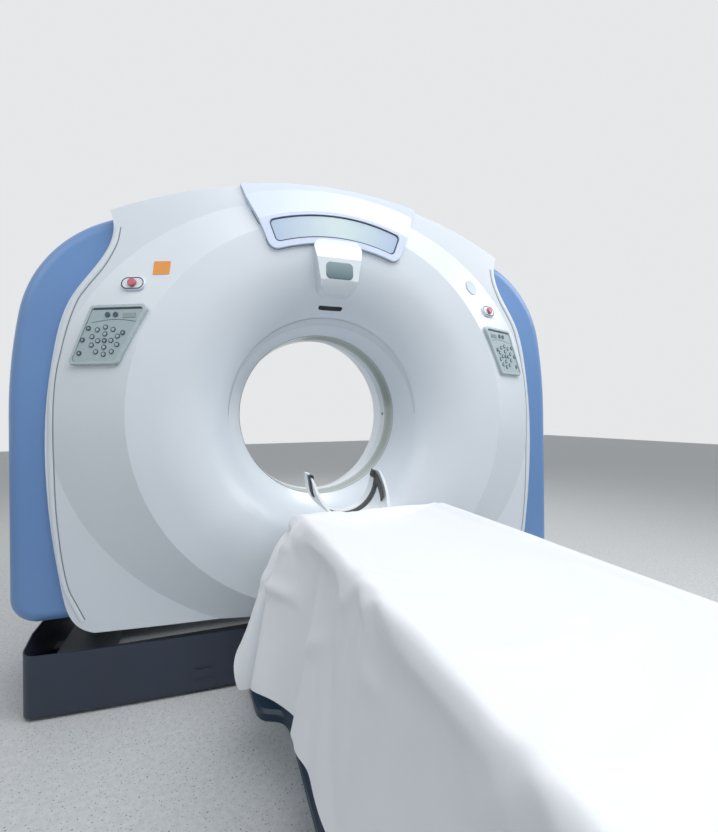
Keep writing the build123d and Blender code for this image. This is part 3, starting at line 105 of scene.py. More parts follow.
def new_piece(name, mesh_maker, material, body, smooth=30):
    """Makes an object at the origin from a bmesh, with its material, on its body."""
    mesh = bpy.data.meshes.new(name)
    mesh_maker.to_mesh(mesh)
    mesh_maker.free()
    for face in mesh.polygons:
        face.use_smooth = True
    piece = bpy.data.objects.new(name, mesh)
    bpy.context.scene.collection.objects.link(piece)
    if material:
        mesh.materials.append(material)
    if smooth:
        split = piece.modifiers.new("creases", "EDGE_SPLIT")
        split.split_angle = math.radians(smooth)
    if body:
        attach(piece, body)
    return piece


FLOOR_HALF = 14
floor_shape = bmesh.new()
bmesh.ops.create_grid(floor_shape, x_segments=1, y_segments=1, size=FLOOR_HALF)
floor_paint, shader = new_finish("pale_studio_floor", "#C9CDD0", 0.55)
where = add(floor_paint, "TexCoord").outputs["Object"]
# flecks about 17 mm wide, and dark chips of 6 mm
flecks = add(floor_paint, "TexNoise", {"Scale": 60.0, "Detail": 3.0}, {"Vector": where})
tint = add(floor_paint, "MapRange", {"From Min": 0.35, "From Max": 0.65, "To Min": 0.0, "To Max": 1.0},
           {"Value": flecks.outputs["Fac"]})
mix = add(floor_paint, "Mix", {"A": linear("#CDD1D3"), "B": linear("#D9DCDE")},
          {"Factor": tint.outputs["Result"]}, data_type="RGBA")
chips = add(floor_paint, "TexNoise", {"Scale": 170.0, "Detail": 1.0}, {"Vector": where})
dark = add(floor_paint, "MapRange", {"From Min": 0.66, "From Max": 0.72}, {"Value": chips.outputs["Fac"]})
chipped = add(floor_paint, "Mix", {"B": linear("#6E7478")}, {"Factor": dark.outputs["Result"],
              "A": mix.outputs["Result"]}, data_type="RGBA")
link(floor_paint, chipped.outputs["Result"], shader.inputs["Base Color"])
floor = new_piece("studio_floor", floor_shape, floor_paint, None, smooth=0)

# the sky lights the object softly, and is paler where it is seen, mirrored or looked at
# through glass
SKY_LIGHT, SKY_SEEN = 0.36, 0.88
world = bpy.data.worlds.new("soft_sky")
world.use_nodes = True
bpy.context.scene.world = world
sky = world.node_tree.nodes["Background"]
sky.inputs["Color"].default_value = linear("#F3F5F7")
path = add(world, "LightPath")
seen = path.outputs["Is Camera Ray"]
for ray in ("Is Glossy Ray", "Is Transmission Ray"):
    seen = add(world, "Math", links={0: seen, 1: path.outputs[ray]}, operation="MAXIMUM").outputs[0]
strength = add(world, "MapRange", {"To Min": SKY_LIGHT, "To Max": SKY_SEEN}, {"Value": seen})
link(world, strength.outputs["Result"], sky.inputs["Strength"])


def ceiling_lamp(name, place, target, size, watts):
    """A broad white lamp of a size in metres, turned to a target."""
    lamp = bpy.data.lights.new(name, "AREA")
    lamp.shape = "RECTANGLE"
    lamp.size, lamp.size_y = size
    lamp.energy = watts
    holder = bpy.data.objects.new(name, lamp)
    holder.location = place
    holder.rotation_euler = (Vector(target) - Vector(place)).to_track_quat("-Z", "Y").to_euler()
    bpy.context.scene.collection.objects.link(holder)


ceiling_lamp("panel_over_table", (0.5, -1.9, 3.5), (0.1, -0.9, 0.5), (3.0, 2.0), 72)
ceiling_lamp("panel_left", (-2.6, -1.6, 3.0), (-0.3, -0.2, 1.1), (2.0, 1.4), 10)
ceiling_lamp("panel_right", (3.0, -1.2, 2.8), (0.4, -0.2, 1.1), (1.8, 1.2), 22)
ceiling_lamp("panel_rear", (0.5, 3.2, 3.4), (0, 0.2, 0.9), (3.0, 1.6), 62)


def moulded_cover(name, colour, deep, roughness):
    """Satin paint over a moulding: faint cloudy tone, and orange peel in the gloss."""
    material, shader = new_finish(name, colour, roughness, coat_weight=0.25, coat_roughness=0.12)
    where = add(material, "TexCoord").outputs["Object"]
    # clouds 300 mm wide, too faint to name as marks
    cloud = add(material, "TexNoise", {"Scale": 3.3, "Detail": 2.0}, {"Vector": where})
    mix = add(material, "Mix", {"A": linear(colour), "B": linear(deep)}, {"Factor": cloud.outputs["Fac"]},
              data_type="RGBA")
    link(material, mix.outputs["Result"], shader.inputs["Base Color"])
    # real orange peel is 2 mm wide; drawn at 5 mm so that it shows
    peel = add(material, "TexNoise", {"Scale": 200.0, "Detail": 2.0}, {"Vector": where})
    bump = add(material, "Bump", {"Strength": 0.06, "Distance": 0.0004}, {"Height": peel.outputs["Fac"]})
    link(material, bump.outputs["Normal"], shader.inputs["Normal"])
    wear = add(material, "TexNoise", {"Scale": 14.0, "Detail": 4.0}, {"Vector": where})
    gloss = add(material, "MapRange", {"To Min": roughness - 0.06, "To Max": roughness + 0.06},
                {"Value": wear.outputs["Fac"]})
    link(material, gloss.outputs["Result"], shader.inputs["Roughness"])
    return material


def dress(material, *names):
    """Gives a finish to CAD nodes."""
    for name in names:
        for place in nodes[name].material_slots:
            place.material = material


white_paint = moulded_cover("satin_white_polyurethane", "#E2E9F0", "#DAE3EC", 0.34)
blue_paint = moulded_cover("satin_blue_polyurethane", "#6E96CB", "#658DC4", 0.36)
dress(white_paint, "top_cover", "bottom_cover", "rear_cover", "rear_bore_ring")
dress(blue_paint, "side_cover_left", "side_cover_right")


def merged(*sources):
    """A copy of CAD nodes with their loose triangles joined up."""
    shape = bmesh.new()
    for source in sources:
        shape.from_mesh(nodes[source].data)
    bmesh.ops.remove_doubles(shape, verts=shape.verts, dist=0.00002)
    return shape


# the sharp crest of the front cover stays sharp, and its sloping band stays smooth
CREST_ANGLE = 14
front = new_piece("front_cover_shell", merged("front_cover"), white_paint, "gantry", CREST_ANGLE)
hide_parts("front_cover")


# Display console: a moulded ABS bezel over the top of the ring, painted pale lavender, with the screen let
# into it, a thin dark strip round the screen that is painted shadow of its recess, and a lens in the hood
# under it.

# the height of the bore's axis, and how far from it the hood ends
ISO_Z = 1.005
HOOD_TOP_R = 0.645
console_paint = moulded_cover("satin_lavender_abs", "#CFDCF6", "#DCE6F8", 0.36)
shader = console_paint.node_tree.nodes["Principled BSDF"]
where = add(console_paint, "TexCoord").outputs["Object"]
split = add(console_paint, "SeparateXYZ", links={"Vector": where})
rise = add(console_paint, "Math", {1: ISO_Z}, {0: split.outputs["Z"]}, operation="SUBTRACT")
flat = add(console_paint, "CombineXYZ", links={"X": split.outputs["X"], "Y": rise.outputs[0]})
reach = add(console_paint, "VectorMath", links={0: flat.outputs[0]}, operation="LENGTH")
# the hood below the screen is sprayed white like the cover it stands on
mask = add(console_paint, "MapRange", {"From Min": HOOD_TOP_R - 0.005, "From Max": HOOD_TOP_R + 0.005},
           {"Value": reach.outputs["Value"]})
paint = add(console_paint, "Mix", {"A": linear("#DDE4EB")}, {"Factor": mask.outputs["Result"],
            "B": shader.inputs["Base Color"].links[0].from_socket}, data_type="RGBA")
link(console_paint, paint.outputs["Result"], shader.inputs["Base Color"])
dress(console_paint, "display_console")

screen_glass, shader = new_finish("etched_display_glass", "#C4D8E4", 0.22, coat_weight=0.6,
                                  coat_roughness=0.08)
where = add(screen_glass, "TexCoord").outputs["Object"]
split = add(screen_glass, "SeparateXYZ", links={"Vector": where})
# the lit film behind the glass fades towards its ends and is paler in the middle
across = add(screen_glass, "Math", links={0: split.outputs["X"]}, operation="ABSOLUTE")
fade = add(screen_glass, "MapRange", {"From Min": 0.02, "From Max": 0.26}, {"Value": across.outputs[0]})
film = add(screen_glass, "Mix", {"A": linear("#D5E6E9"), "B": linear("#B4C8E2")},
           {"Factor": fade.outputs["Result"]}, data_type="RGBA")
haze = add(screen_glass, "TexNoise", {"Scale": 26.0, "Detail": 3.0}, {"Vector": where})
mix = add(screen_glass, "Mix", {"Factor": 0.12}, {"A": film.outputs["Result"], "B": haze.outputs["Color"]},
          data_type="RGBA", blend_type="SOFT_LIGHT")
link(screen_glass, mix.outputs["Result"], shader.inputs["Base Color"])
dress(screen_glass, "display_screen")

LENS_LOW_Z, LENS_HIGH_Z = 1.513, 1.577
hood_glass, shader = new_finish("smoked_acrylic_lens", "#6B848C", 0.08, coat_weight=0.8, coat_roughness=0.04)
where = add(hood_glass, "TexCoord").outputs["Object"]
split = add(hood_glass, "SeparateXYZ", links={"Vector": where})
# painted shade: the lens is drawn darker towards its bottom edge and paler towards its top; the side lasers'
# lenses lie below it and take its dark end
rise = add(hood_glass, "MapRange", {"From Min": LENS_LOW_Z, "From Max": LENS_HIGH_Z},
           {"Value": split.outputs["Z"]})
depth = add(hood_glass, "Mix", {"A": linear("#55707A"), "B": linear("#8DA3A8")},
            {"Factor": rise.outputs["Result"]}, data_type="RGBA")
link(hood_glass, depth.outputs["Result"], shader.inputs["Base Color"])
dress(hood_glass, "hood_window")


def around(radius, angle, y):
    """A point on a circle about the bore's axis; the angle is from the top, to the right."""
    return Vector((radius * math.sin(angle), y, ISO_Z + radius * math.cos(angle)))


def closed_strip(name, points, width, thick, material, body, facing=Vector((0, -1, 0))):
    """A flat strip bent round a closed line, such as the painted shadow round the screen, standing proud by
    thick.
    """
    strip = bmesh.new()
    total = len(points)
    rows = []
    for i, point in enumerate(points):
        along = (points[(i + 1) % total] - points[i - 1]).normalized()
        side = along.cross(facing).normalized() * width / 2
        rows.append([strip.verts.new(point + side * s) for s in (-1, 1)])
    for i in range(total):
        a, b = rows[i], rows[(i + 1) % total]
        strip.faces.new((a[0], a[1], b[1], b[0]))
    bmesh.ops.recalc_face_normals(strip, faces=strip.faces)
    if sum(f.normal.dot(facing) for f in strip.faces) < 0:
        bmesh.ops.reverse_faces(strip, faces=strip.faces)
    bmesh.ops.solidify(strip, geom=strip.faces, thickness=thick)
    return new_piece(name, strip, material, body)


def fine_grained(name, colour, roughness, scale, strength):
    """A plain moulded plastic or rubber with the fine grain of its mould."""
    material, shader = new_finish(name, colour, roughness)
    where = add(material, "TexCoord").outputs["Object"]
    grain = add(material, "TexNoise", {"Scale": scale}, {"Vector": where})
    bump = add(material, "Bump", {"Strength": strength, "Distance": 0.0002}, {"Height": grain.outputs["Fac"]})
    link(material, bump.outputs["Normal"], shader.inputs["Normal"])
    return material


# dark rubber for the ribs round the stops and the keypads' dividing lines, also used for strips of painted
# shadow round the screen and under the keypads' hoods
dark_rib_and_painted_shadow_rubber = fine_grained("dark_rubber_ribs_and_painted_shadow", "#39465E", 0.55, 900.0, 0.2)


def sector_line(inner, outer, reach, corner, y, steps=36):
    """The closed line of an annular sector with rounded corners, about the bore's axis."""
    line = []
    turn_in, turn_out = corner / inner, corner / outer
    quarter = [math.radians(15 * k) for k in range(7)]
    for i in range(steps + 1):
        line.append(around(outer, -reach + turn_out + 2 * (reach - turn_out) * i / steps, y))
    for a in quarter[1:-1]:
        line.append(around(outer - corner * (1 - math.cos(a)), reach - turn_out * (1 - math.sin(a)), y))
    for a in quarter[1:-1]:
        line.append(around(inner + corner * (1 - math.sin(a)), reach - turn_in * (1 - math.cos(a)), y))
    for i in range(steps + 1):
        line.append(around(inner, reach - turn_in - 2 * (reach - turn_in) * i / steps, y))
    for a in quarter[1:-1]:
        line.append(around(inner + corner * (1 - math.cos(a)), -reach + turn_in * (1 - math.sin(a)), y))
    for a in quarter[1:-1]:
        line.append(around(outer - corner * (1 - math.sin(a)), -reach + turn_out * (1 - math.cos(a)), y))
    return line


SCREEN_IN, SCREEN_OUT, SCREEN_ANGLE, SCREEN_Y = 0.671, 0.757, math.radians(20.3), -0.3545
SCREEN_CORNER, SCREEN_SHADOW_INSET, SCREEN_SHADOW_W, SCREEN_SHADOW_T = 0.018, 0.003, 0.005, 0.0015
# a thin dark strip all round the screen, standing in as painted shadow of the screen's recess
screen_shadow_line = sector_line(SCREEN_IN + SCREEN_SHADOW_INSET, SCREEN_OUT - SCREEN_SHADOW_INSET, SCREEN_ANGLE - 0.004,
                          SCREEN_CORNER, SCREEN_Y)
screen_shadow_strip = closed_strip("screen_recess_shadow", screen_shadow_line, SCREEN_SHADOW_W, SCREEN_SHADOW_T, dark_rib_and_painted_shadow_rubber, "gantry")


# Bore: a grey-green scan window ring, the white tube behind it, a crescent trim panel with
# small dark light ports over the opening, and the black slot of the positioning light.
window_film, shader = new_finish("grey_green_polycarbonate_window", "#8E9C9A", 0.28, coat_weight=0.4)
where = add(window_film, "TexCoord").outputs["Object"]
split = add(window_film, "SeparateXYZ", links={"Vector": where})
# a film window 60 mm wide in the middle of the ring, darker than its moulded rims
middle = add(window_film, "Math", {1: 0.008}, {0: split.outputs["Y"]}, operation="ADD")
away = add(window_film, "Math", links={0: middle.outputs[0]}, operation="ABSOLUTE")
edge = add(window_film, "MapRange", {"From Min": 0.030, "From Max": 0.032}, {"Value": away.outputs[0]})
film = add(window_film, "Mix", {"A": linear("#87968F"), "B": linear("#A4AFAD")},
           {"Factor": edge.outputs["Result"]}, data_type="RGBA")
link(window_film, film.outputs["Result"], shader.inputs["Base Color"])
dress(window_film, "scan_window")
trim_paint = moulded_cover("satin_trim_paint", "#D8E0E6", "#CFD8DF", 0.3)
dress(trim_paint, "bore_trim")

slot_black, shader = new_finish("matt_black_slot_film", "#0B0D10", 0.35)
where = add(slot_black, "TexCoord").outputs["Object"]
dust = add(slot_black, "TexNoise", {"Scale": 70.0, "Detail": 4.0}, {"Vector": where})
tone = add(slot_black, "MapRange", {"From Min": 0.55, "From Max": 0.75, "To Min": 0.3, "To Max": 0.45},
           {"Value": dust.outputs["Fac"]})
link(slot_black, tone.outputs["Result"], shader.inputs["Roughness"])
dress(slot_black, "light_slot")

# each port lies flat on the slope of the trim panel
PORT_SIZE, PORT_LEAN, PORT_R, PORT_Y = (0.016, 0.0016, 0.0035), 0.7, 0.3945, -0.1700
port_shape = bmesh.new()
for angle in (-0.62, -0.30, 0.30, 0.62):
    port = bmesh.ops.create_cube(port_shape, size=1.0)["verts"]
    bmesh.ops.scale(port_shape, verts=port, vec=PORT_SIZE)
    bmesh.ops.transform(port_shape, verts=port, matrix=Matrix.Rotation(PORT_LEAN, 4, "X"))
    bmesh.ops.translate(port_shape, verts=port, vec=(0, PORT_Y, PORT_R))
    bmesh.ops.rotate(port_shape, verts=port, cent=(0, 0, 0), matrix=Matrix.Rotation(angle, 3, "Y"))
    bmesh.ops.translate(port_shape, verts=port, vec=(0, 0, ISO_Z))
ports = new_piece("bore_light_ports", port_shape, slot_black, "gantry", smooth=0)

# the side lasers' lenses, one in each wall of the bore at the height of its axis
LENS_R, LENS_FACE_R, LENS_DEPTH, LENS_AT = 0.0085, 0.007, 0.003, (0.3490, 0.0725)
lens_shape = bmesh.new()
for side in (-1, 1):
    lens_part = bmesh.ops.create_cone(lens_shape, cap_ends=True, segments=24, radius1=LENS_R,
                                      radius2=LENS_FACE_R, depth=LENS_DEPTH)["verts"]
    turn = Matrix.Rotation(-side * math.pi / 2, 3, "Y")
    bmesh.ops.rotate(lens_shape, verts=lens_part, cent=(0, 0, 0), matrix=turn)
    bmesh.ops.translate(lens_shape, verts=lens_part, vec=(side * LENS_AT[0], LENS_AT[1], ISO_Z))
bmesh.ops.recalc_face_normals(lens_shape, faces=lens_shape.faces)
lenses = new_piece("laser_port_lenses", lens_shape, hood_glass, "gantry")


# Control panels: grey ABS housings on the sloping band, a membrane keypad let in under
# their hooded top edge, with domed dark keys, and an oblong emergency stop above each.
BAND_SLOPE, CREST_R, CREST_Y = 0.46, 0.737, -0.345
PANEL_AT, STOP_AT = (0.790, 1.278), (0.7125, 1.457)


def band_frame(x, z, lift=0.0):
    """The plane that touches the sloping band at a place: its level, its rise and its face."""
    r = math.hypot(x, z - ISO_Z)
    normal = Vector((BAND_SLOPE * x / r, -1, BAND_SLOPE * (z - ISO_Z) / r)).normalized()
    along = Vector((-normal.y, normal.x, 0)).normalized()
    origin = Vector((x, CREST_Y + BAND_SLOPE * (r - CREST_R), z)) + normal * lift
    return Matrix((along, normal.cross(along), normal)).transposed().to_4x4(), origin


panel_paint = moulded_cover("textured_grey_abs", "#B7C7CA", "#AFC0C3", 0.42)
dress(panel_paint, "control_panels")
membrane = fine_grained("matt_grey_keypad_membrane", "#A9BBC0", 0.5, 500.0, 0.15)
dress(membrane, "keypads")


def slab_on(frame_at, shape, outline, low, high, side=1):
    """Adds a flat plate with the given outline, in mm on a plane, from low to high over it."""
    turn, origin = frame_at
    rings = []
    for level_mm in (low, high):
        rings.append([shape.verts.new(origin + turn.to_3x3() @ (Vector((side * x, y, level_mm)) / 1000))
                      for x, y in outline])
    base_ring, top_ring = rings
    faces = [shape.faces.new(top_ring), shape.faces.new(base_ring)]
    for i in range(len(outline)):
        k = (i + 1) % len(outline)
        faces.append(shape.faces.new((base_ring[i], base_ring[k], top_ring[k], top_ring[i])))
    bmesh.ops.recalc_face_normals(shape, faces=faces)


def disc_line(x, y, radius, sides=20):
    """The outline of a round key or plate."""
    return [(x + radius * math.cos(2 * math.pi * i / sides), y + radius * math.sin(2 * math.pi * i / sides))
            for i in range(sides)]


def slot_line(width, height, steps=14):
    """The outline of an oblong with round ends, level with the plane."""
    r, half = height / 2, (width - height) / 2
    ends = [(half + r * math.sin(math.pi * i / steps), r * math.cos(math.pi * i / steps))
            for i in range(steps + 1)]
    return ends + [(-x, -y) for x, y in ends]


def mottled(name, colour, dark, pale, roughness, scale, detail):
    """A plain rubber whose tone wanders between a darker and a paler patch."""
    material, shader = new_finish(name, colour, roughness)
    where = add(material, "TexCoord").outputs["Object"]
    patch = add(material, "TexNoise", {"Scale": scale, "Detail": detail}, {"Vector": where})
    tone = add(material, "Mix", {"A": linear(dark), "B": linear(pale)}, {"Factor": patch.outputs["Fac"]},
               data_type="RGBA")
    link(material, tone.outputs["Result"], shader.inputs["Base Color"])
    return material


key_rubber = mottled("dark_slate_silicone_keys", "#3C4B5A", "#344250", "#46586A", 0.45, 320.0, 3.0)


def rounded_line(corners, radius, steps=6):
    """A closed outline with its corners rounded, for a plate cut from sheet."""
    line = []
    for i, corner in enumerate(corners):
        here = Vector(corner)
        before = (Vector(corners[i - 1]) - here).normalized()
        after = (Vector(corners[(i + 1) % len(corners)]) - here).normalized()
        half = before.angle(after) / 2
        reach = radius / math.tan(half)
        centre = here + (before + after).normalized() * radius / math.sin(half)
        start, end = here + before * reach - centre, here + after * reach - centre
        for k in range(steps + 1):
            line.append(tuple(centre + (start * (1 - k / steps) + end * k / steps).normalized() * radius))
    return line


# the keypad in mm on the right panel's plane, and turned over for the left one
FIELD, FIELD_CORNER, FIELD_LOW, FIELD_TOP = [(-126, 92), (56, 92), (117, -92), (-34, -92)], 11, 3.2, 9.0
RING_AT, RING_R, CROSS_STEP = (6, -22), 47, 23
KEY_R, KEY_FACE_R, KEY_DOT_R, KEY_TOP = 8.6, 5.4, 3.4, 11.6
OUTER_KEYS = [(66, 22), (84, -18), (-56, 4), (92, -64)]
STRIP_KEYS, STRIP_KEY_R = [(-26, 68), (2, 68)], 9.0
DISPLAY_AT, DISPLAY_HALF = (-74, 64), (23, 8)
LINE_START, LINE_LENGTH, LINE_PARTS, LINE_W = -104, 160, 24, 1.6
HOOD_SHADOW = [(-124, 86), (54, 86), (53, 91.5), (-126, 91.5)]

ring = [(RING_AT[0] + RING_R * math.cos(math.radians(a)), RING_AT[1] + RING_R * math.sin(math.radians(a)))
        for a in range(18, 378, 36)]
cross = [(RING_AT[0] + dx * CROSS_STEP, RING_AT[1] + dy * CROSS_STEP)
         for dx, dy in ((0, 0), (1, 0), (-1, 0), (0, 1), (0, -1))]
glass_line = rounded_line([(DISPLAY_AT[0] + dx * DISPLAY_HALF[0], DISPLAY_AT[1] + dy * DISPLAY_HALF[1])
                           for dx, dy in ((-1, -1), (1, -1), (1, 1), (-1, 1))], 2)
field_shape, key_shape, display_shape, line_shape = bmesh.new(), bmesh.new(), bmesh.new(), bmesh.new()
for side in (-1, 1):
    at = band_frame(side * PANEL_AT[0], PANEL_AT[1])
    slab_on(at, field_shape, rounded_line(FIELD, FIELD_CORNER), FIELD_LOW, FIELD_TOP, side)
    for x, y in cross + ring + OUTER_KEYS:
        face_r = KEY_FACE_R if (x, y) in ring + cross[1:] else KEY_DOT_R
        slab_on(at, key_shape, disc_line(x, y, KEY_R), FIELD_TOP - 1, KEY_TOP - 0.8, side)
        slab_on(at, field_shape, disc_line(x, y, face_r), KEY_TOP - 1.2, KEY_TOP, side)
    # the two round keys stand beside the display, which is at the strip's end next to the bore
    for x, y in STRIP_KEYS:
        slab_on(at, key_shape, disc_line(x, y, STRIP_KEY_R), FIELD_TOP - 1, KEY_TOP, side)
    slab_on(at, display_shape, glass_line, FIELD_TOP - 1, FIELD_TOP + 1.2, side)
    # the dark line that parts the upper strip from the keys, and the shadow under the hood
    for k in range(LINE_PARTS):
        x0 = LINE_START + LINE_LENGTH * k / LINE_PARTS
        x1 = LINE_START + LINE_LENGTH * (k + 1) / LINE_PARTS + 0.3
        y0, y1 = (42 + 8 * math.cos((x + 24) / 46) for x in (x0, x1))
        part = [(x0, y0), (x1, y1), (x1, y1 + LINE_W), (x0, y0 + LINE_W)]
        slab_on(at, line_shape, part, FIELD_TOP - 1, FIELD_TOP + 0.4, side)
    slab_on(at, line_shape, HOOD_SHADOW, FIELD_TOP - 1, FIELD_TOP + 0.5, side)
field = new_piece("keypad_membrane", field_shape, membrane, "gantry", smooth=20)
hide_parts("keypads")
keys = new_piece("keypad_keys", key_shape, key_rubber, "gantry", smooth=20)
lines = new_piece("keypad_lines", line_shape, dark_rib_and_painted_shadow_rubber, "gantry", smooth=20)

lcd_glass, shader = new_finish("grey_lcd_glass", "#6F8488", 0.12, coat_weight=0.6)
where = add(lcd_glass, "TexCoord").outputs["Object"]
rows = add(lcd_glass, "TexWave", {"Scale": 240.0, "Distortion": 1.5}, {"Vector": where}, bands_direction="Z")
tone = add(lcd_glass, "Mix", {"A": linear("#6A7F84"), "B": linear("#7F9498")},
           {"Factor": rows.outputs["Fac"]}, data_type="RGBA")
link(lcd_glass, tone.outputs["Result"], shader.inputs["Base Color"])
display = new_piece("keypad_displays", display_shape, lcd_glass, "gantry", smooth=20)

# each stop's dark outline is a low rib on its white bezel: how far in, and how high, in mm
STOP_W, STOP_H = 84, 49
OUTLINE_PROFILE = [(-6.4, 9.0), (-6.2, 9.5), (-2.7, 9.5), (-2.5, 9.0)]
dress(white_paint, "stop_bezels")
outline_shape = bmesh.new()
for side in (-1, 1):
    turn, origin = band_frame(side * STOP_AT[0], STOP_AT[1])
    turn = turn.to_3x3()
    rows = []
    for grow, height in OUTLINE_PROFILE:
        line = slot_line(STOP_W + 2 * grow, STOP_H + 2 * grow)
        rows.append([outline_shape.verts.new(origin + turn @ (Vector((side * x, y, height)) / 1000))
                     for x, y in line])
    faces = []
    for a, b in zip(rows, rows[1:] + rows[:1]):
        for i in range(len(line)):
            k = (i + 1) % len(line)
            faces.append(outline_shape.faces.new((a[i], a[k], b[k], b[i])))
    bmesh.ops.recalc_face_normals(outline_shape, faces=faces)
outlines = new_piece("stop_outlines", outline_shape, dark_rib_and_painted_shadow_rubber, "gantry")
stop_paint = moulded_cover("moulded_coral_red_button", "#C4606A", "#B9525E", 0.34)
dress(stop_paint, "stop_button_left", "stop_button_right")


# Plates: a brushed aluminium disc and a square plate in orange enamel, both bare and both
# stuck to the sloping band.
DISC_AT, PLATE_AT = (0.628, 1.557), (-0.622, 1.5165)
DISC_R, DISC_FACE_R, PLATE_HALF = 35, 31, (29, 26)
disc_metal, shader = new_finish("brushed_anodised_disc", "#9DA6AE", 0.36, metallic=0.7)
where = add(disc_metal, "TexCoord").outputs["Object"]
squash = add(disc_metal, "Mapping", {"Scale": (40.0, 40.0, 1800.0)}, {"Vector": where})
brush = add(disc_metal, "TexNoise", {"Scale": 1.0, "Detail": 3.0}, {"Vector": squash.outputs["Vector"]})
gloss = add(disc_metal, "MapRange", {"To Min": 0.28, "To Max": 0.46}, {"Value": brush.outputs["Fac"]})
link(disc_metal, gloss.outputs["Result"], shader.inputs["Roughness"])
disc_shape = bmesh.new()
slab_on(band_frame(*DISC_AT), disc_shape, disc_line(0, 0, DISC_R, 48), -2, 1.6)
slab_on(band_frame(*DISC_AT), disc_shape, disc_line(0, 0, DISC_FACE_R, 48), 1.5, 2.4)
disc = new_piece("badge_disc", disc_shape, disc_metal, "gantry")
enamel = moulded_cover("orange_enamel", "#E99A3C", "#E18D2E", 0.3)
plate_shape = bmesh.new()
plate_line = rounded_line([(dx * PLATE_HALF[0], dy * PLATE_HALF[1])
                           for dx, dy in ((-1, -1), (1, -1), (1, 1), (-1, 1))], 3)
slab_on(band_frame(*PLATE_AT), plate_shape, plate_line, -2, 1.2)
plate = new_piece("name_plate", plate_shape, enamel, "gantry")


# Edge lip: a bead painted with the white cover, along its edge to the blue side covers, with a grey strip
# beside it that is painted shadow along the joint. The same painted shadow line runs round the console's
# foot.
SEAM = [(0.900, 0.300), (0.924, 0.352), (0.950, 0.412), (0.968, 0.500), (0.980, 0.600), (0.988, 0.700),
        (0.992, 0.820), (0.993, 0.940), (0.990, 1.060), (0.982, 1.150), (0.968, 1.225), (0.946, 1.320),
        (0.914, 1.410), (0.878, 1.467), (0.835, 1.525), (0.808, 1.572), (0.790, 1.612), (0.783, 1.640),
        (0.779, 1.666)]
# across each strip: how far in from the edge, and how far off the cover
LIP_PROFILE = [(0.004, -0.003), (0.005, 0.001), (0.008, 0.0028), (0.013, 0.0032), (0.018, 0.0026),
               (0.0205, 0.001), (0.021, -0.003)]
# the two grey strips of painted shadow: beside the lip, and round the console's foot
SEAM_SHADOW_PROFILE = [(0.0205, 0.0003), (0.0208, 0.0006), (0.0243, 0.0006), (0.0245, 0.0003)]
CONSOLE_SHADOW_PROFILE = [(-0.0045, 0.0006), (-0.0043, 0.0012), (0.0, 0.0014), (0.003, 0.0014)]
FOOT_R, FOOT_CORNER, FOOT_REACH = 0.650, 0.034, math.radians(22.6)
HOOD_HALF_W = 0.085
cover_tree = BVHTree.FromObject(front, bpy.context.evaluated_depsgraph_get())


def on_cover(x, z, lift):
    """The place on the front cover's face in front of (x, z), and lift off it."""
    place, normal, _, _ = cover_tree.ray_cast(Vector((x, -1, z)), Vector((0, 1, 0)))
    return None if place is None else place + normal * lift


def smooth_line(points, parts=6):
    """A Catmull-Rom curve through points."""
    line = []
    ends = [points[0]] + points + [points[-1]]
    for a, b, c, d in zip(ends, ends[1:], ends[2:], ends[3:]):
        for k in range(parts):
            t = k / parts
            line.append(tuple(
                0.5 * (2 * b[i] + (c[i] - a[i]) * t + (2 * a[i] - 5 * b[i] + 4 * c[i] - d[i]) * t * t
                       + (3 * b[i] - a[i] - 3 * c[i] + d[i]) * t ** 3) for i in (0, 1)))
    return line + [points[-1]]


def bead(shape, line, profile):
    """A strip that follows a line on the cover; profile is (offset, lift) in metres across it."""
    rows = []
    for i, (x, z) in enumerate(line):
        before, after = Vector(line[max(i - 1, 0)]), Vector(line[min(i + 1, len(line) - 1)])
        along = (after - before).normalized()
        inward = Vector((-along.y, along.x)) * (1 if x > 0 else -1)
        row = [on_cover(x + inward.x * offset, z + inward.y * offset, lift) for offset, lift in profile]
        if all(row):
            rows.append([shape.verts.new(p) for p in row])
    faces = []
    for a, b in zip(rows, rows[1:]):
        for i in range(len(profile) - 1):
            faces.append(shape.faces.new((a[i], a[i + 1], b[i + 1], b[i])))
    bmesh.ops.recalc_face_normals(shape, faces=faces)
    if sum(f.normal.y for f in faces) > 0:
        bmesh.ops.reverse_faces(shape, faces=faces)


lip_shape, shadow_line_shape = bmesh.new(), bmesh.new()
# the painted shadow line round the display console, on the cover beside the console's foot
sweep = [(r, FOOT_REACH) for r in (1.13, 1.02, 0.92, 0.82, 0.76, FOOT_R + FOOT_CORNER + 0.004)]
arc = [(FOOT_R + FOOT_CORNER * (1 - math.sin(a)), FOOT_REACH - FOOT_CORNER / FOOT_R * (1 - math.cos(a)))
       for a in (math.radians(12 * k) for k in range(1, 8))]
below = [(FOOT_R, FOOT_REACH - FOOT_CORNER / FOOT_R - k * 0.03) for k in range(12)]
console_line = [(r * math.sin(a), ISO_Z + r * math.cos(a)) for r, a in sweep + arc + below]
for side in (-1, 1):
    bead(shadow_line_shape, [(side * x, z) for x, z in console_line if x > HOOD_HALF_W], CONSOLE_SHADOW_PROFILE)
for side in (-1, 1):
    line = smooth_line([(side * x, z) for x, z in SEAM])
    bead(lip_shape, line, LIP_PROFILE)
    bead(shadow_line_shape, line, SEAM_SHADOW_PROFILE)
lip = new_piece("edge_lip", lip_shape, white_paint, "gantry", smooth=50)
# a grey strip standing in as painted shadow, beside the lip and round the console
painted_shadow_grey = moulded_cover("painted_shadow_line_grey", "#8E999E", "#7F8A90", 0.6)
shadow_line_piece = new_piece("edge_shadow_line", shadow_line_shape, painted_shadow_grey, "gantry")


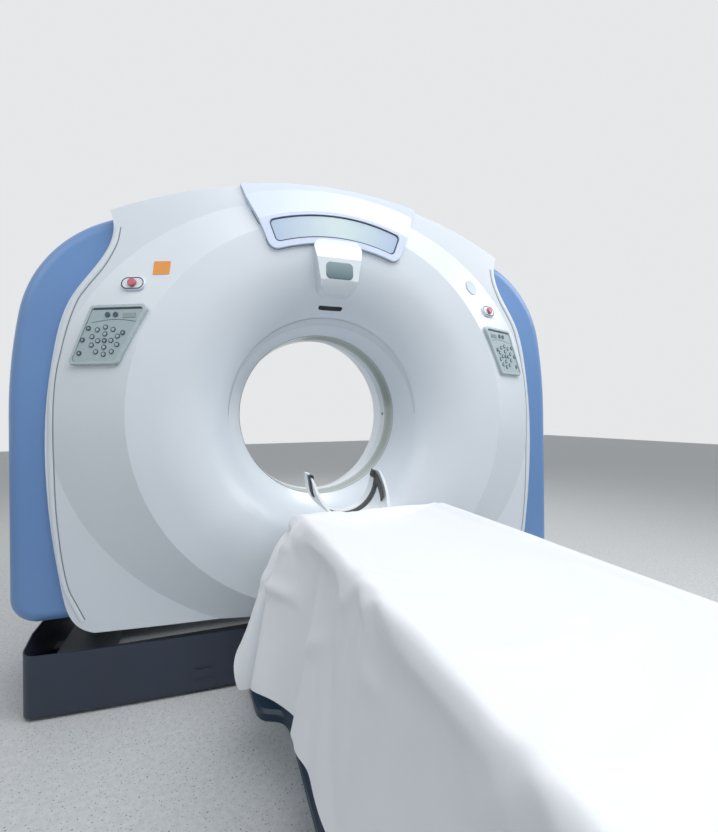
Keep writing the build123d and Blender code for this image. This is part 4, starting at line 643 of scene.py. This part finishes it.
# Sheet: a hemmed cotton bed sheet thrown over the pad, a little askew. It hangs free on both
# sides, so it starts bent over them just above the pad and is let fall by simulation; the
# spread of its hanging sides and its creases are then shaped in code.
SHEET_W, SHEET_L = 1.28, 2.42
SHEET_MID_Y, SHEET_SKEW = -1.735, math.radians(2.4)
SHEET_START_Z = 0.728
GRID_STEP = 0.018
GATHER, HANG, TABLE_HALF_W = 0.945, math.radians(68), 0.238
HEM_W, STITCH_HALF_W, RIPPLE_H = 0.024, 0.0016, 0.012


def cotton():
    """Plain weave: threads drawn 1.2 mm apart, because real ones of 0.4 mm would not show."""
    material, shader = new_finish("woven_cotton_sheeting", "#EEF2F8", 0.82, sheen_weight=0.35)
    where = add(material, "UVMap").outputs["UV"]
    size = add(material, "Mapping", {"Scale": (SHEET_W, SHEET_L, 1.0)}, {"Vector": where})
    warp, weft = (add(material, "TexWave", {"Scale": 262.0}, {"Vector": size.outputs["Vector"]},
                      bands_direction=way) for way in "XY")
    cloth = add(material, "Math", links={0: warp.outputs["Fac"], 1: weft.outputs["Fac"]}, operation="ADD")
    slubs = add(material, "TexNoise", {"Scale": 9.0, "Detail": 3.0}, {"Vector": size.outputs["Vector"]})
    tone = add(material, "Mix", {"A": linear("#EAEFF6"), "B": linear("#F4F7FB")},
               {"Factor": slubs.outputs["Fac"]}, data_type="RGBA")
    # a turned hem with its row of stitches, measured in from the sheet's edges
    split = add(material, "SeparateXYZ", links={"Vector": where})
    from_side = [add(material, "Math", {1: 0.5}, {0: split.outputs[axis]}, operation="PINGPONG")
                 for axis in "XY"]
    metres = [add(material, "Math", {1: length}, {0: part.outputs[0]}, operation="MULTIPLY")
              for part, length in zip(from_side, (SHEET_W, SHEET_L))]
    inward = add(material, "Math", links={0: metres[0].outputs[0], 1: metres[1].outputs[0]},
                 operation="MINIMUM")
    stitch = add(material, "Math", {1: HEM_W, 2: STITCH_HALF_W}, {0: inward.outputs[0]}, operation="COMPARE")
    hem = add(material, "Math", {1: HEM_W}, {0: inward.outputs[0]}, operation="LESS_THAN")
    sewn = add(material, "Mix", {"B": linear("#B9C0C9")}, {"Factor": stitch.outputs[0],
               "A": tone.outputs["Result"]}, data_type="RGBA")
    link(material, sewn.outputs["Result"], shader.inputs["Base Color"])
    soft = add(material, "TexNoise", {"Scale": 45.0, "Detail": 4.0}, {"Vector": size.outputs["Vector"]})
    height = add(material, "Math", {1: 6.0}, {0: soft.outputs["Fac"]}, operation="MULTIPLY")
    raised = add(material, "Math", {1: 3.0, 2: 0.0}, {0: hem.outputs[0]}, operation="MULTIPLY_ADD")
    thick = add(material, "Math", links={0: cloth.outputs[0], 1: raised.outputs[0]}, operation="ADD")
    total = add(material, "Math", links={0: thick.outputs[0], 1: height.outputs[0]}, operation="ADD")
    bump = add(material, "Bump", {"Strength": 0.35, "Distance": 0.0006}, {"Height": total.outputs[0]})
    link(material, bump.outputs["Normal"], shader.inputs["Normal"])
    return material


def start_sheet():
    """The sheet bent over the table's sides, with slight ripples for its folds to start from."""
    flat = bmesh.new()
    bmesh.ops.create_grid(flat, x_segments=round(SHEET_W / GRID_STEP), y_segments=round(SHEET_L / GRID_STEP),
                          size=0.5, calc_uvs=True)
    turn = Matrix.Rotation(SHEET_SKEW, 3, "Z")
    for vert in flat.verts:
        x, y = vert.co.x * SHEET_W, vert.co.y * SHEET_L
        place = turn @ Vector((x, y * GATHER, 0))
        ripple = RIPPLE_H * noise.noise(Vector((x * 2.2, y * 3.4, 5.2)))
        over = max(abs(place.x) - TABLE_HALF_W, 0.0)
        side = math.copysign(min(abs(place.x), TABLE_HALF_W) + over * math.cos(HANG) + ripple, place.x)
        vert.co = (side, place.y + SHEET_MID_Y, SHEET_START_Z - over * math.sin(HANG) + ripple / 2)
    return flat


sheet = new_piece("sheet_cotton_draped", start_sheet(), cotton(), None, smooth=0)


# creases left in the hanging sides, the same on both: where each starts and ends in (y, z),
# and its height
CREASES = [((-0.64, 0.530), (-0.88, 0.541), 0.010), ((-1.17, 0.672), (-1.23, 0.640), 0.009),
           ((-1.33, 0.592), (-1.47, 0.613), 0.008), ((-1.47, 0.613), (-1.55, 0.655), 0.008),
           ((-0.98, 0.470), (-1.12, 0.560), 0.007), ((-1.70, 0.560), (-1.86, 0.610), 0.007),
           ((-0.72, 0.630), (-0.83, 0.660), 0.006), ((-1.95, 0.520), (-2.06, 0.600), 0.007)]
CREASE_HALF_W, CREASE_LIFT, CRUMPLE_H = 0.014, 1.7, 0.005
EDGE_X, EDGE_FADE = 0.236, 0.02


def creased(place):
    """Pushes the hanging cloth out along its creases, and crumples it a little."""
    out = CRUMPLE_H * noise.noise(Vector((place.y * 9, place.z * 5, 3.1)))
    for (y0, z0), (y1, z1), height in CREASES:
        along = Vector((y1 - y0, z1 - z0))
        offset = Vector((place.y - y0, place.z - z0))
        t = min(max(offset.dot(along) / along.length_squared, 0.0), 1.0)
        gap = (offset - along * t).length / CREASE_HALF_W
        out += CREASE_LIFT * height * math.sin(math.pi * (0.15 + 0.7 * t)) * math.exp(-gap * gap)
    side = min(max((abs(place.x) - EDGE_X) / EDGE_FADE, 0.0), 1.0)
    return Vector((place.x + math.copysign(out * side, place.x), place.y, place.z))


HANG_TOP_Z, HANG_DROP = 0.70, 0.42
CORNER_START_Y, CORNER_LENGTH = -1.05, 0.45
SIDE_FLARE, CORNER_FLARE = 0.016, 0.092


def flared(place):
    """Lets the hanging sides stand off a little, most at the free corners by the gantry."""
    hang = min(max((HANG_TOP_Z - place.z) / HANG_DROP, 0.0), 1.0)
    near = min(max((place.y - CORNER_START_Y) / CORNER_LENGTH, 0.0), 1.0)
    near = near * near * (3 - 2 * near)
    out = hang * SIDE_FLARE + (hang ** 0.45) * CORNER_FLARE * near
    return Vector((place.x + math.copysign(out, place.x), place.y, place.z))


DROP_FRAMES = 55


def drop_on_table(cloth_piece, *supports):
    """Drops the sheet on copies of what carries it, and keeps the shape it comes to."""
    rest = bpy.data.meshes.new("sheet_support")
    shape = merged(*supports)
    shape.to_mesh(rest)
    shape.free()
    support = bpy.data.objects.new("sheet_support", rest)
    bpy.context.scene.collection.objects.link(support)
    support.modifiers.new("collision", "COLLISION")
    support.collision.thickness_outer = 0.004
    support.collision.cloth_friction = 3.0
    fall = cloth_piece.modifiers.new("fall", "CLOTH")
    fall.settings.quality = 7
    fall.settings.mass = 0.16
    fall.settings.tension_stiffness = 20
    fall.settings.compression_stiffness = 12
    fall.settings.shear_stiffness = 6
    fall.settings.bending_stiffness = 0.4
    fall.settings.air_damping = 2.2
    fall.settings.shrink_min = -0.025
    fall.collision_settings.distance_min = 0.004
    fall.collision_settings.collision_quality = 3
    fall.collision_settings.use_self_collision = False
    fall.point_cache.frame_start, fall.point_cache.frame_end = 1, 90
    scene = bpy.context.scene
    for step in range(1, DROP_FRAMES + 1):
        scene.frame_set(step)
    fallen = cloth_piece.evaluated_get(bpy.context.evaluated_depsgraph_get())
    settled = [creased(flared(v.co)) for v in fallen.data.vertices]
    cloth_piece.modifiers.remove(fall)
    for vert, place in zip(cloth_piece.data.vertices, settled):
        vert.co = place
    bpy.data.objects.remove(support)
    scene.frame_set(1)


drop_on_table(sheet, "cradle_pad", "cradle", "head_holder")
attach(sheet, "cradle_body")
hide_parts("sheet")
smoothing = sheet.modifiers.new("rounding", "SUBSURF")
smoothing.levels = smoothing.render_levels = 1


# Pad: a foam mattress sewn into dark blue vinyl, lying loose in the cradle's trough. Its edges
# are rounded and its top is drawn down at two cross rows.
pad_vinyl, shader = new_finish("navy_pad_vinyl", "#2F3E52", 0.46, coat_weight=0.15)
where = add(pad_vinyl, "TexCoord").outputs["Object"]
# leather grain of 1 mm, drawn at 3 mm so that it shows
grain = add(pad_vinyl, "TexVoronoi", {"Scale": 330.0}, {"Vector": where}, feature="SMOOTH_F1")
wrinkle = add(pad_vinyl, "TexNoise", {"Scale": 9.0, "Detail": 3.0}, {"Vector": where})
height = add(pad_vinyl, "Math", {1: 4.0}, {0: wrinkle.outputs["Fac"]}, operation="MULTIPLY")
total = add(pad_vinyl, "Math", links={0: grain.outputs["Distance"], 1: height.outputs[0]}, operation="ADD")
bump = add(pad_vinyl, "Bump", {"Strength": 0.3, "Distance": 0.0006}, {"Height": total.outputs[0]})
link(pad_vinyl, bump.outputs["Normal"], shader.inputs["Normal"])

TROUGH_LOW_Z, TROUGH_RISE, TROUGH_HALF_W = 0.655, 0.046, 0.232
PAD_HALF_W, PAD_T, PAD_GAP = 0.224, 0.0145, 0.0006
PAD_ENDS, PAD_EDGE_R = (-2.900, -0.740), 0.012
DRAWN_ROWS, ROW_HALF_W, ROW_DEPTH = (0.333, 0.667), 0.006, 0.003


def trough_at(x, height):
    """The place over x on an arc parallel to the cradle's trough."""
    radius = (TROUGH_HALF_W ** 2 + TROUGH_RISE ** 2) / (2 * TROUGH_RISE)
    turn = math.asin(x / radius)
    reach = radius - height
    return reach * math.sin(turn), TROUGH_LOW_Z + radius - reach * math.cos(turn)


def padded_mattress():
    """The pad's skin: crowned over its foam, with rounded edges and two drawn rows."""
    skin = bmesh.new()
    cross, along = 26, 96
    rows = []
    for j in range(along + 1):
        t = j / along
        y = PAD_ENDS[0] + (PAD_ENDS[1] - PAD_ENDS[0]) * t
        end = min(t, 1 - t) * (PAD_ENDS[1] - PAD_ENDS[0])
        edge_y = math.sqrt(max(0.0, 1 - max(0.0, 1 - end / PAD_EDGE_R) ** 2))
        ring = []
        for i in range(cross + 1):
            u = -1 + 2 * i / cross
            x = PAD_HALF_W * u
            edge_x = math.sqrt(max(0.0, 1 - max(0.0, 1 - (1 - abs(u)) * PAD_HALF_W / PAD_EDGE_R) ** 2))
            drawn = sum(math.exp(-((t - row) / ROW_HALF_W) ** 2) for row in DRAWN_ROWS)
            soft = 0.0008 * noise.noise(Vector((x * 9, y * 7, 1.7)))
            thick = PAD_T * (0.42 + 0.58 * min(edge_x, edge_y)) - ROW_DEPTH * drawn + soft
            px, pz = trough_at(x * 0.995, PAD_GAP + thick)
            ring.append(skin.verts.new((px, y, pz)))
        for i in range(cross, -1, -1):
            u = -1 + 2 * i / cross
            px, pz = trough_at(PAD_HALF_W * u * 0.995, PAD_GAP)
            ring.append(skin.verts.new((px, y, pz)))
        rows.append(ring)
    faces = []
    for a, b in zip(rows, rows[1:]):
        for i in range(len(a)):
            k = (i + 1) % len(a)
            faces.append(skin.faces.new((a[i], a[k], b[k], b[i])))
    for ring in (rows[0], rows[-1]):
        last = 2 * cross + 1
        for i in range(cross):
            faces.append(skin.faces.new((ring[i], ring[i + 1], ring[last - 1 - i], ring[last - i])))
    bmesh.ops.recalc_face_normals(skin, faces=skin.faces)
    return skin


mattress = new_piece("cradle_mattress", padded_mattress(), pad_vinyl, "cradle_body", smooth=60)
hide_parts("cradle_pad")


# Head holder: a satin white moulding hooked to the cradle's end. A black webbing strap comes
# over its left rim and round its inside, and a loose end with a buckle lies on the right wall.
holder_paint = moulded_cover("satin_white_holder_abs", "#E4E9EE", "#D9E0E7", 0.3)
dress(holder_paint, "head_holder")
webbing, shader = new_finish("black_nylon_webbing", "#14171B", 0.72, sheen_weight=0.2)
where = add(webbing, "UVMap").outputs["UV"]
size = add(webbing, "Mapping", {"Scale": (0.04, 1.0, 1.0)}, {"Vector": where})
# ribs 2 mm apart across the strap
rib = add(webbing, "TexWave", {"Scale": 157.0, "Distortion": 0.4}, {"Vector": size.outputs["Vector"]},
          bands_direction="Y")
twill = add(webbing, "TexWave", {"Scale": 157.0}, {"Vector": size.outputs["Vector"]}, bands_direction="X")
thread = add(webbing, "Math", links={0: rib.outputs["Fac"], 1: twill.outputs["Fac"]}, operation="ADD")
bump = add(webbing, "Bump", {"Strength": 0.6, "Distance": 0.0006}, {"Height": thread.outputs[0]})
link(webbing, bump.outputs["Normal"], shader.inputs["Normal"])
tone = add(webbing, "Mix", {"A": linear("#101316"), "B": linear("#1E2328")}, {"Factor": rib.outputs["Fac"]},
           data_type="RGBA")
link(webbing, tone.outputs["Result"], shader.inputs["Base Color"])

HOLDER_HALF, HOLDER_LOW, HOLDER_TOP, HOLDER_BEND = 0.130, 0.632, 0.790, 0.100
HOLDER_LEAN, HOLDER_WALL = 0.008, 0.008
STRAP_W, LOOSE_W, STRAP_T = 0.040, 0.026, 0.0024


def holder_inside(parts, inset, top):
    """The inner profile of the head holder in (x, z), from the left rim to the right one."""
    half, low = HOLDER_HALF - HOLDER_WALL - inset, HOLDER_LOW + HOLDER_WALL + inset
    bend = low + HOLDER_BEND
    radius = (half ** 2 + HOLDER_BEND ** 2) / (2 * HOLDER_BEND)
    reach = math.asin(min(half / radius, 1.0))
    if HOLDER_BEND > radius:
        reach = math.pi - reach
    lean = HOLDER_LEAN / (HOLDER_TOP - bend)
    line = [(-half - lean * (z - bend), z) for z in (top, (top + bend) / 2)]
    line += [(radius * math.sin(a), low + radius - radius * math.cos(a))
             for a in (-reach + 2 * reach * i / parts for i in range(parts + 1))]
    line += [(half + lean * (z - bend), z) for z in ((top + bend) / 2, top)]
    return line


STRAP_PROFILE = [(-0.5, 0.15), (-0.44, 0.0), (0.44, 0.0), (0.5, 0.15),
                 (0.5, 0.85), (0.44, 1.0), (-0.44, 1.0), (-0.5, 0.85)]


def strap_band(shape, path, width, thick):
    """A woven strap along a path of (place, across, face) frames, with UVs in metres."""
    uv = shape.loops.layers.uv.verify()
    rings, far, travelled = [], [], 0.0
    for i, (place, across, face) in enumerate(path):
        if i:
            travelled += (place - path[i - 1][0]).length
        far.append(travelled)
        rings.append([shape.verts.new(place + across * u * width + face * v * thick)
                      for u, v in STRAP_PROFILE])
    for i, (a, b) in enumerate(zip(rings, rings[1:])):
        for k in range(8):
            n = (k + 1) % 8
            made = shape.faces.new((a[k], a[n], b[n], b[k]))
            around_to = n if n else 8
            for loop, (s, t) in zip(made.loops, ((k, i), (around_to, i), (around_to, i + 1), (k, i + 1))):
                loop[uv].uv = (s / 8, far[t])
    for ring in (rings[0], rings[-1]):
        shape.faces.new(ring)
    bmesh.ops.recalc_face_normals(shape, faces=shape.faces)


def inner_path(y_start, y_end, line, lift):
    """Frames along the holder's inside while the strap runs slowly along the table."""
    path = []
    for i, (x, z) in enumerate(line):
        y = y_start + (y_end - y_start) * i / (len(line) - 1)
        b, a = line[min(i + 1, len(line) - 1)], line[max(i - 1, 0)]
        along = Vector((b[0] - a[0], (y_end - y_start) * 2 / len(line), b[1] - a[1])).normalized()
        face = Vector((-along.z, 0, along.x)).normalized()
        path.append((Vector((x, y, z)) + face * lift, along.cross(face).normalized(), face))
    return path


# outside of the left wall, over its rim, round the inside and up the right wall
OVER_RIM = [(-0.1236, 0.712), (-0.1308, 0.732), (-0.1337, 0.750), (-0.1368, 0.772), (-0.1380, 0.7815),
            (-0.1364, 0.7866), (-0.1325, 0.7876), (-0.1288, 0.7866), (-0.1272, 0.7800)]
strap_shape = bmesh.new()
strap_line = OVER_RIM + holder_inside(36, 0.0006, 0.772)
strap_band(strap_shape, inner_path(-0.440, -0.416, strap_line, 0.0), STRAP_W, STRAP_T)
# the loose end lies back along the inside of the right wall
loose = [Vector(p) for p in ((0.1238, -0.372, 0.780), (0.1232, -0.405, 0.777), (0.1216, -0.440, 0.763),
                             (0.1186, -0.475, 0.744), (0.1130, -0.510, 0.722), (0.1060, -0.535, 0.704))]
frames = []
for i, place in enumerate(loose):
    along = (loose[min(i + 1, 5)] - loose[max(i - 1, 0)]).normalized()
    face = Vector((-1, 0, 0.25))
    face = (face - along * along.dot(face)).normalized()
    frames.append((place - Vector((0.003, 0, 0)), along.cross(face), face))
strap_band(strap_shape, frames, LOOSE_W, STRAP_T)
straps = new_piece("head_holder_straps", strap_shape, webbing, "cradle_body", smooth=40)
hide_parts("head_straps")

# the buckle's two rails, two end bars and middle bar: place and size of each, in metres
BUCKLE_BARS = [((0, 0.018, 0), (0.008, 0.005, 0.005)), ((0, -0.018, 0), (0.026, 0.005, 0.005)),
               ((0.0105, 0, 0), (0.005, 0.040, 0.005)), ((-0.0105, 0, 0), (0.005, 0.040, 0.005)),
               ((0, 0, 0), (0.005, 0.036, 0.004))]
BUCKLE_AT, BUCKLE_TURN = (0.1175, -0.402, 0.776), math.radians(-82)
buckle_plastic = fine_grained("black_acetal_buckle", "#1B1E22", 0.34, 700.0, 0.2)
buckle_shape = bmesh.new()
for place, size in BUCKLE_BARS:
    bar = bmesh.ops.create_cube(buckle_shape, size=1.0)["verts"]
    bmesh.ops.scale(buckle_shape, verts=bar, vec=size)
    bmesh.ops.translate(buckle_shape, verts=bar, vec=place)
bmesh.ops.bevel(buckle_shape, geom=buckle_shape.edges[:], offset=0.001, affect="EDGES", segments=2,
                profile=0.5, material=-1)
bmesh.ops.transform(buckle_shape, verts=buckle_shape.verts,
                    matrix=Matrix.Translation(BUCKLE_AT) @ Matrix.Rotation(BUCKLE_TURN, 4, "Y"))
buckle = new_piece("strap_buckle", buckle_shape, buckle_plastic, "cradle_body", smooth=40)


# Base: navy covers in textured paint, screwed to a welded steel frame that stands on
# levelling feet, and the table's enamelled foot with the painted skirts round its lift.
def powder_coat(name, colour, deep, roughness):
    """Textured paint or powder coat: a fine pebbled surface with faint uneven tone."""
    material, shader = new_finish(name, colour, roughness)
    where = add(material, "TexCoord").outputs["Object"]
    cloud = add(material, "TexNoise", {"Scale": 5.0, "Detail": 3.0}, {"Vector": where})
    mix = add(material, "Mix", {"A": linear(colour), "B": linear(deep)}, {"Factor": cloud.outputs["Fac"]},
              data_type="RGBA")
    link(material, mix.outputs["Result"], shader.inputs["Base Color"])
    # real texture is 0.5 mm; drawn at 2.5 mm so that it shows
    pebble = add(material, "TexNoise", {"Scale": 400.0, "Detail": 2.0}, {"Vector": where})
    bump = add(material, "Bump", {"Strength": 0.25, "Distance": 0.0003}, {"Height": pebble.outputs["Fac"]})
    link(material, bump.outputs["Normal"], shader.inputs["Normal"])
    return material


base_paint = powder_coat("navy_textured_base_paint", "#343C4E", "#2B3344", 0.42)
dress(base_paint, "base_front_cover", "base_end_cover_left", "base_end_cover_right", "base_rear_cover")
foot_paint = powder_coat("slate_foot_enamel", "#31465A", "#2A3D50", 0.36)
dress(foot_paint, "table_foot", "table_foot_block")
skirt_paint = powder_coat("slate_skirt_paint", "#4B5663", "#424D5A", 0.45)
dress(skirt_paint, "lower_skirt", "middle_skirt", "upper_skirt")
frame_paint = powder_coat("grey_frame_powder_coat", "#62696F", "#565D63", 0.5)
dress(frame_paint, "base_frame", "tilt_frame", "upright_left", "upright_right", "lift_tubes")


def handled(name, colour, roughness, scale, shine, dull, **more):
    """A bare part whose gloss varies in patches where hands and tools have been."""
    material, shader = new_finish(name, colour, roughness, **more)
    where = add(material, "TexCoord").outputs["Object"]
    patch = add(material, "TexNoise", {"Scale": scale, "Detail": 3.0}, {"Vector": where})
    gloss = add(material, "MapRange", {"To Min": shine, "To Max": dull}, {"Value": patch.outputs["Fac"]})
    link(material, gloss.outputs["Result"], shader.inputs["Roughness"])
    return material


def screw_head(shape, place, axis, radius):
    """A pan head with a hexagonal socket, standing on a surface along its axis."""
    head = bmesh.ops.create_cone(shape, cap_ends=True, segments=20, radius1=radius, radius2=radius * 0.86,
                                 depth=radius * 0.5)["verts"]
    crown = max(v.co.z for v in head)
    cap = [f for f in shape.faces if all(v in head and v.co.z > crown - 1e-6 for v in f.verts)]
    socket = bmesh.ops.inset_region(shape, faces=cap, thickness=radius * 0.42)
    rim = {v for f in cap for v in f.verts}
    bmesh.ops.translate(shape, verts=list(rim), vec=(0, 0, -radius * 0.3))
    every = set(head) | rim | {v for f in socket["faces"] for v in f.verts}
    turn = axis.to_track_quat("Z", "Y").to_matrix()
    bmesh.ops.rotate(shape, verts=list(every), cent=(0, 0, 0), matrix=turn)
    bmesh.ops.translate(shape, verts=list(every), vec=place + axis * radius * 0.25)


SCREW_R, REAR_FACE_Y, END_FACE_X = 0.0075, 0.5202, 1.0662
screw_shape = bmesh.new()
for x in (-0.55, 0.55):
    for z in (0.045, 0.185):
        screw_head(screw_shape, Vector((x, REAR_FACE_Y, z)), Vector((0, 1, 0)), SCREW_R)
for side in (-1, 1):
    for y in (-0.20, 0.40):
        screw_head(screw_shape, Vector((side * END_FACE_X, y, 0.04)), Vector((side, 0, 0)), SCREW_R)
zinc = handled("zinc_plated_screws", "#A9AEB3", 0.34, 120.0, 0.24, 0.46, metallic=1.0)
screws = new_piece("base_cover_screws", screw_shape, zinc, "base", smooth=30)


# Machine work: turned and milled steel, cast aluminium, painted housings, copper-alloy slip
# tracks, a woven carbon cradle and a toothed rubber belt, as a scanner's drive is built.
def cut_metal(name, colour, roughness, stretch):
    """Machined metal: fine tool marks along one way, with a faint stain between them."""
    material, shader = new_finish(name, colour, roughness, metallic=1.0)
    where = add(material, "TexCoord").outputs["Object"]
    # real tool marks are 0.2 mm apart; drawn at about 1 mm so that they show
    marks = add(material, "Mapping", {"Scale": stretch}, {"Vector": where})
    line = add(material, "TexNoise", {"Scale": 1.0, "Detail": 4.0}, {"Vector": marks.outputs["Vector"]})
    gloss = add(material, "MapRange", {"To Min": roughness - 0.1, "To Max": roughness + 0.14},
                {"Value": line.outputs["Fac"]})
    link(material, gloss.outputs["Result"], shader.inputs["Roughness"])
    stain = add(material, "TexNoise", {"Scale": 12.0, "Detail": 4.0}, {"Vector": where})
    darker = [c * 0.8 for c in linear(colour)[:3]] + [1.0]
    tone = add(material, "Mix", {"A": linear(colour), "B": darker}, {"Factor": stain.outputs["Fac"]},
               data_type="RGBA")
    link(material, tone.outputs["Result"], shader.inputs["Base Color"])
    bump = add(material, "Bump", {"Strength": 0.15, "Distance": 0.0002}, {"Height": line.outputs["Fac"]})
    link(material, bump.outputs["Normal"], shader.inputs["Normal"])
    return material


turned_steel = cut_metal("turned_bearing_steel", "#B9BEC3", 0.3, (60.0, 900.0, 60.0))
dress(turned_steel, "main_bearing_inner", "main_bearing_outer", "trunnion_bearings", "trunnion_shafts",
      "drive_pulley", "levelling_feet")
ground_steel = cut_metal("hard_chromed_rods", "#C9CDD1", 0.22, (900.0, 900.0, 40.0))
dress(ground_steel, "lift_rods", "docking_plate")
cast_metal, shader = new_finish("sand_cast_aluminium", "#A8ACB0", 0.5, metallic=0.85)
where = add(cast_metal, "TexCoord").outputs["Object"]
sand = add(cast_metal, "TexNoise", {"Scale": 260.0, "Detail": 4.0}, {"Vector": where})
bump = add(cast_metal, "Bump", {"Strength": 0.5, "Distance": 0.0005}, {"Height": sand.outputs["Fac"]})
link(cast_metal, bump.outputs["Normal"], shader.inputs["Normal"])
patch = add(cast_metal, "TexNoise", {"Scale": 8.0, "Detail": 3.0}, {"Vector": where})
tone = add(cast_metal, "Mix", {"A": linear("#9A9EA2"), "B": linear("#B2B6BA")},
           {"Factor": patch.outputs["Fac"]}, data_type="RGBA")
link(cast_metal, tone.outputs["Result"], shader.inputs["Base Color"])
dress(cast_metal, "heat_exchanger", "rotor_drum", "table_top_frame", "tilt_gearbox")
case_paint = powder_coat("warm_grey_case_paint", "#8D9397", "#7E8488", 0.48)
dress(case_paint, "brush_block", "collimator", "data_unit", "detector_arc", "drive_motor", "generators",
      "tilt_motor")
tube_paint = powder_coat("pale_tube_housing_enamel", "#CBCFD2", "#BFC4C8", 0.34)
dress(tube_paint, "xray_tube")

track_metal, shader = new_finish("copper_alloy_slip_tracks", "#C49A63", 0.28, metallic=1.0)
where = add(track_metal, "TexCoord").outputs["Object"]
split = add(track_metal, "SeparateXYZ", links={"Vector": where})
rise = add(track_metal, "Math", {1: ISO_Z}, {0: split.outputs["Z"]}, operation="SUBTRACT")
flat = add(track_metal, "CombineXYZ", links={"X": split.outputs["X"], "Y": rise.outputs[0]})
reach = add(track_metal, "VectorMath", links={0: flat.outputs[0]}, operation="LENGTH")
groove = add(track_metal, "Math", {1: 900.0}, {0: reach.outputs["Value"]}, operation="MULTIPLY")
wave = add(track_metal, "Math", links={0: groove.outputs[0]}, operation="SINE")
tone = add(track_metal, "Mix", {"A": linear("#B98D57"), "B": linear("#D0A872")}, {"Factor": wave.outputs[0]},
           data_type="RGBA")
link(track_metal, tone.outputs["Result"], shader.inputs["Base Color"])
bump = add(track_metal, "Bump", {"Strength": 0.2, "Distance": 0.0002}, {"Height": wave.outputs[0]})
link(track_metal, bump.outputs["Normal"], shader.inputs["Normal"])
dress(track_metal, "slip_ring")

belt_rubber = mottled("black_belt_rubber", "#1B1C1E", "#151618", "#2A2B2D", 0.72, 90.0, 4.0)
dress(belt_rubber, "drive_belt")

glide_plastic = handled("waxy_acetal_glides", "#E6E6DC", 0.38, 60.0, 0.26, 0.5, subsurface_weight=0.05)
dress(glide_plastic, "cradle_glides")

carbon, shader = new_finish("lacquered_carbon_twill", "#23262B", 0.28, coat_weight=0.9, coat_roughness=0.06)
where = add(carbon, "TexCoord").outputs["Object"]
# tows 3 mm wide, drawn at 8 mm so that they show
size = add(carbon, "Mapping", {"Scale": (125.0, 125.0, 125.0)}, {"Vector": where})
weave = add(carbon, "TexChecker", {"Scale": 1.0, "Color1": linear("#1B1E22"), "Color2": linear("#2E3238")},
            {"Vector": size.outputs["Vector"]})
link(carbon, weave.outputs["Color"], shader.inputs["Base Color"])
gloss = add(carbon, "MapRange", {"To Min": 0.22, "To Max": 0.38}, {"Value": weave.outputs["Fac"]})
link(carbon, gloss.outputs["Result"], shader.inputs["Roughness"])
dress(carbon, "cradle")
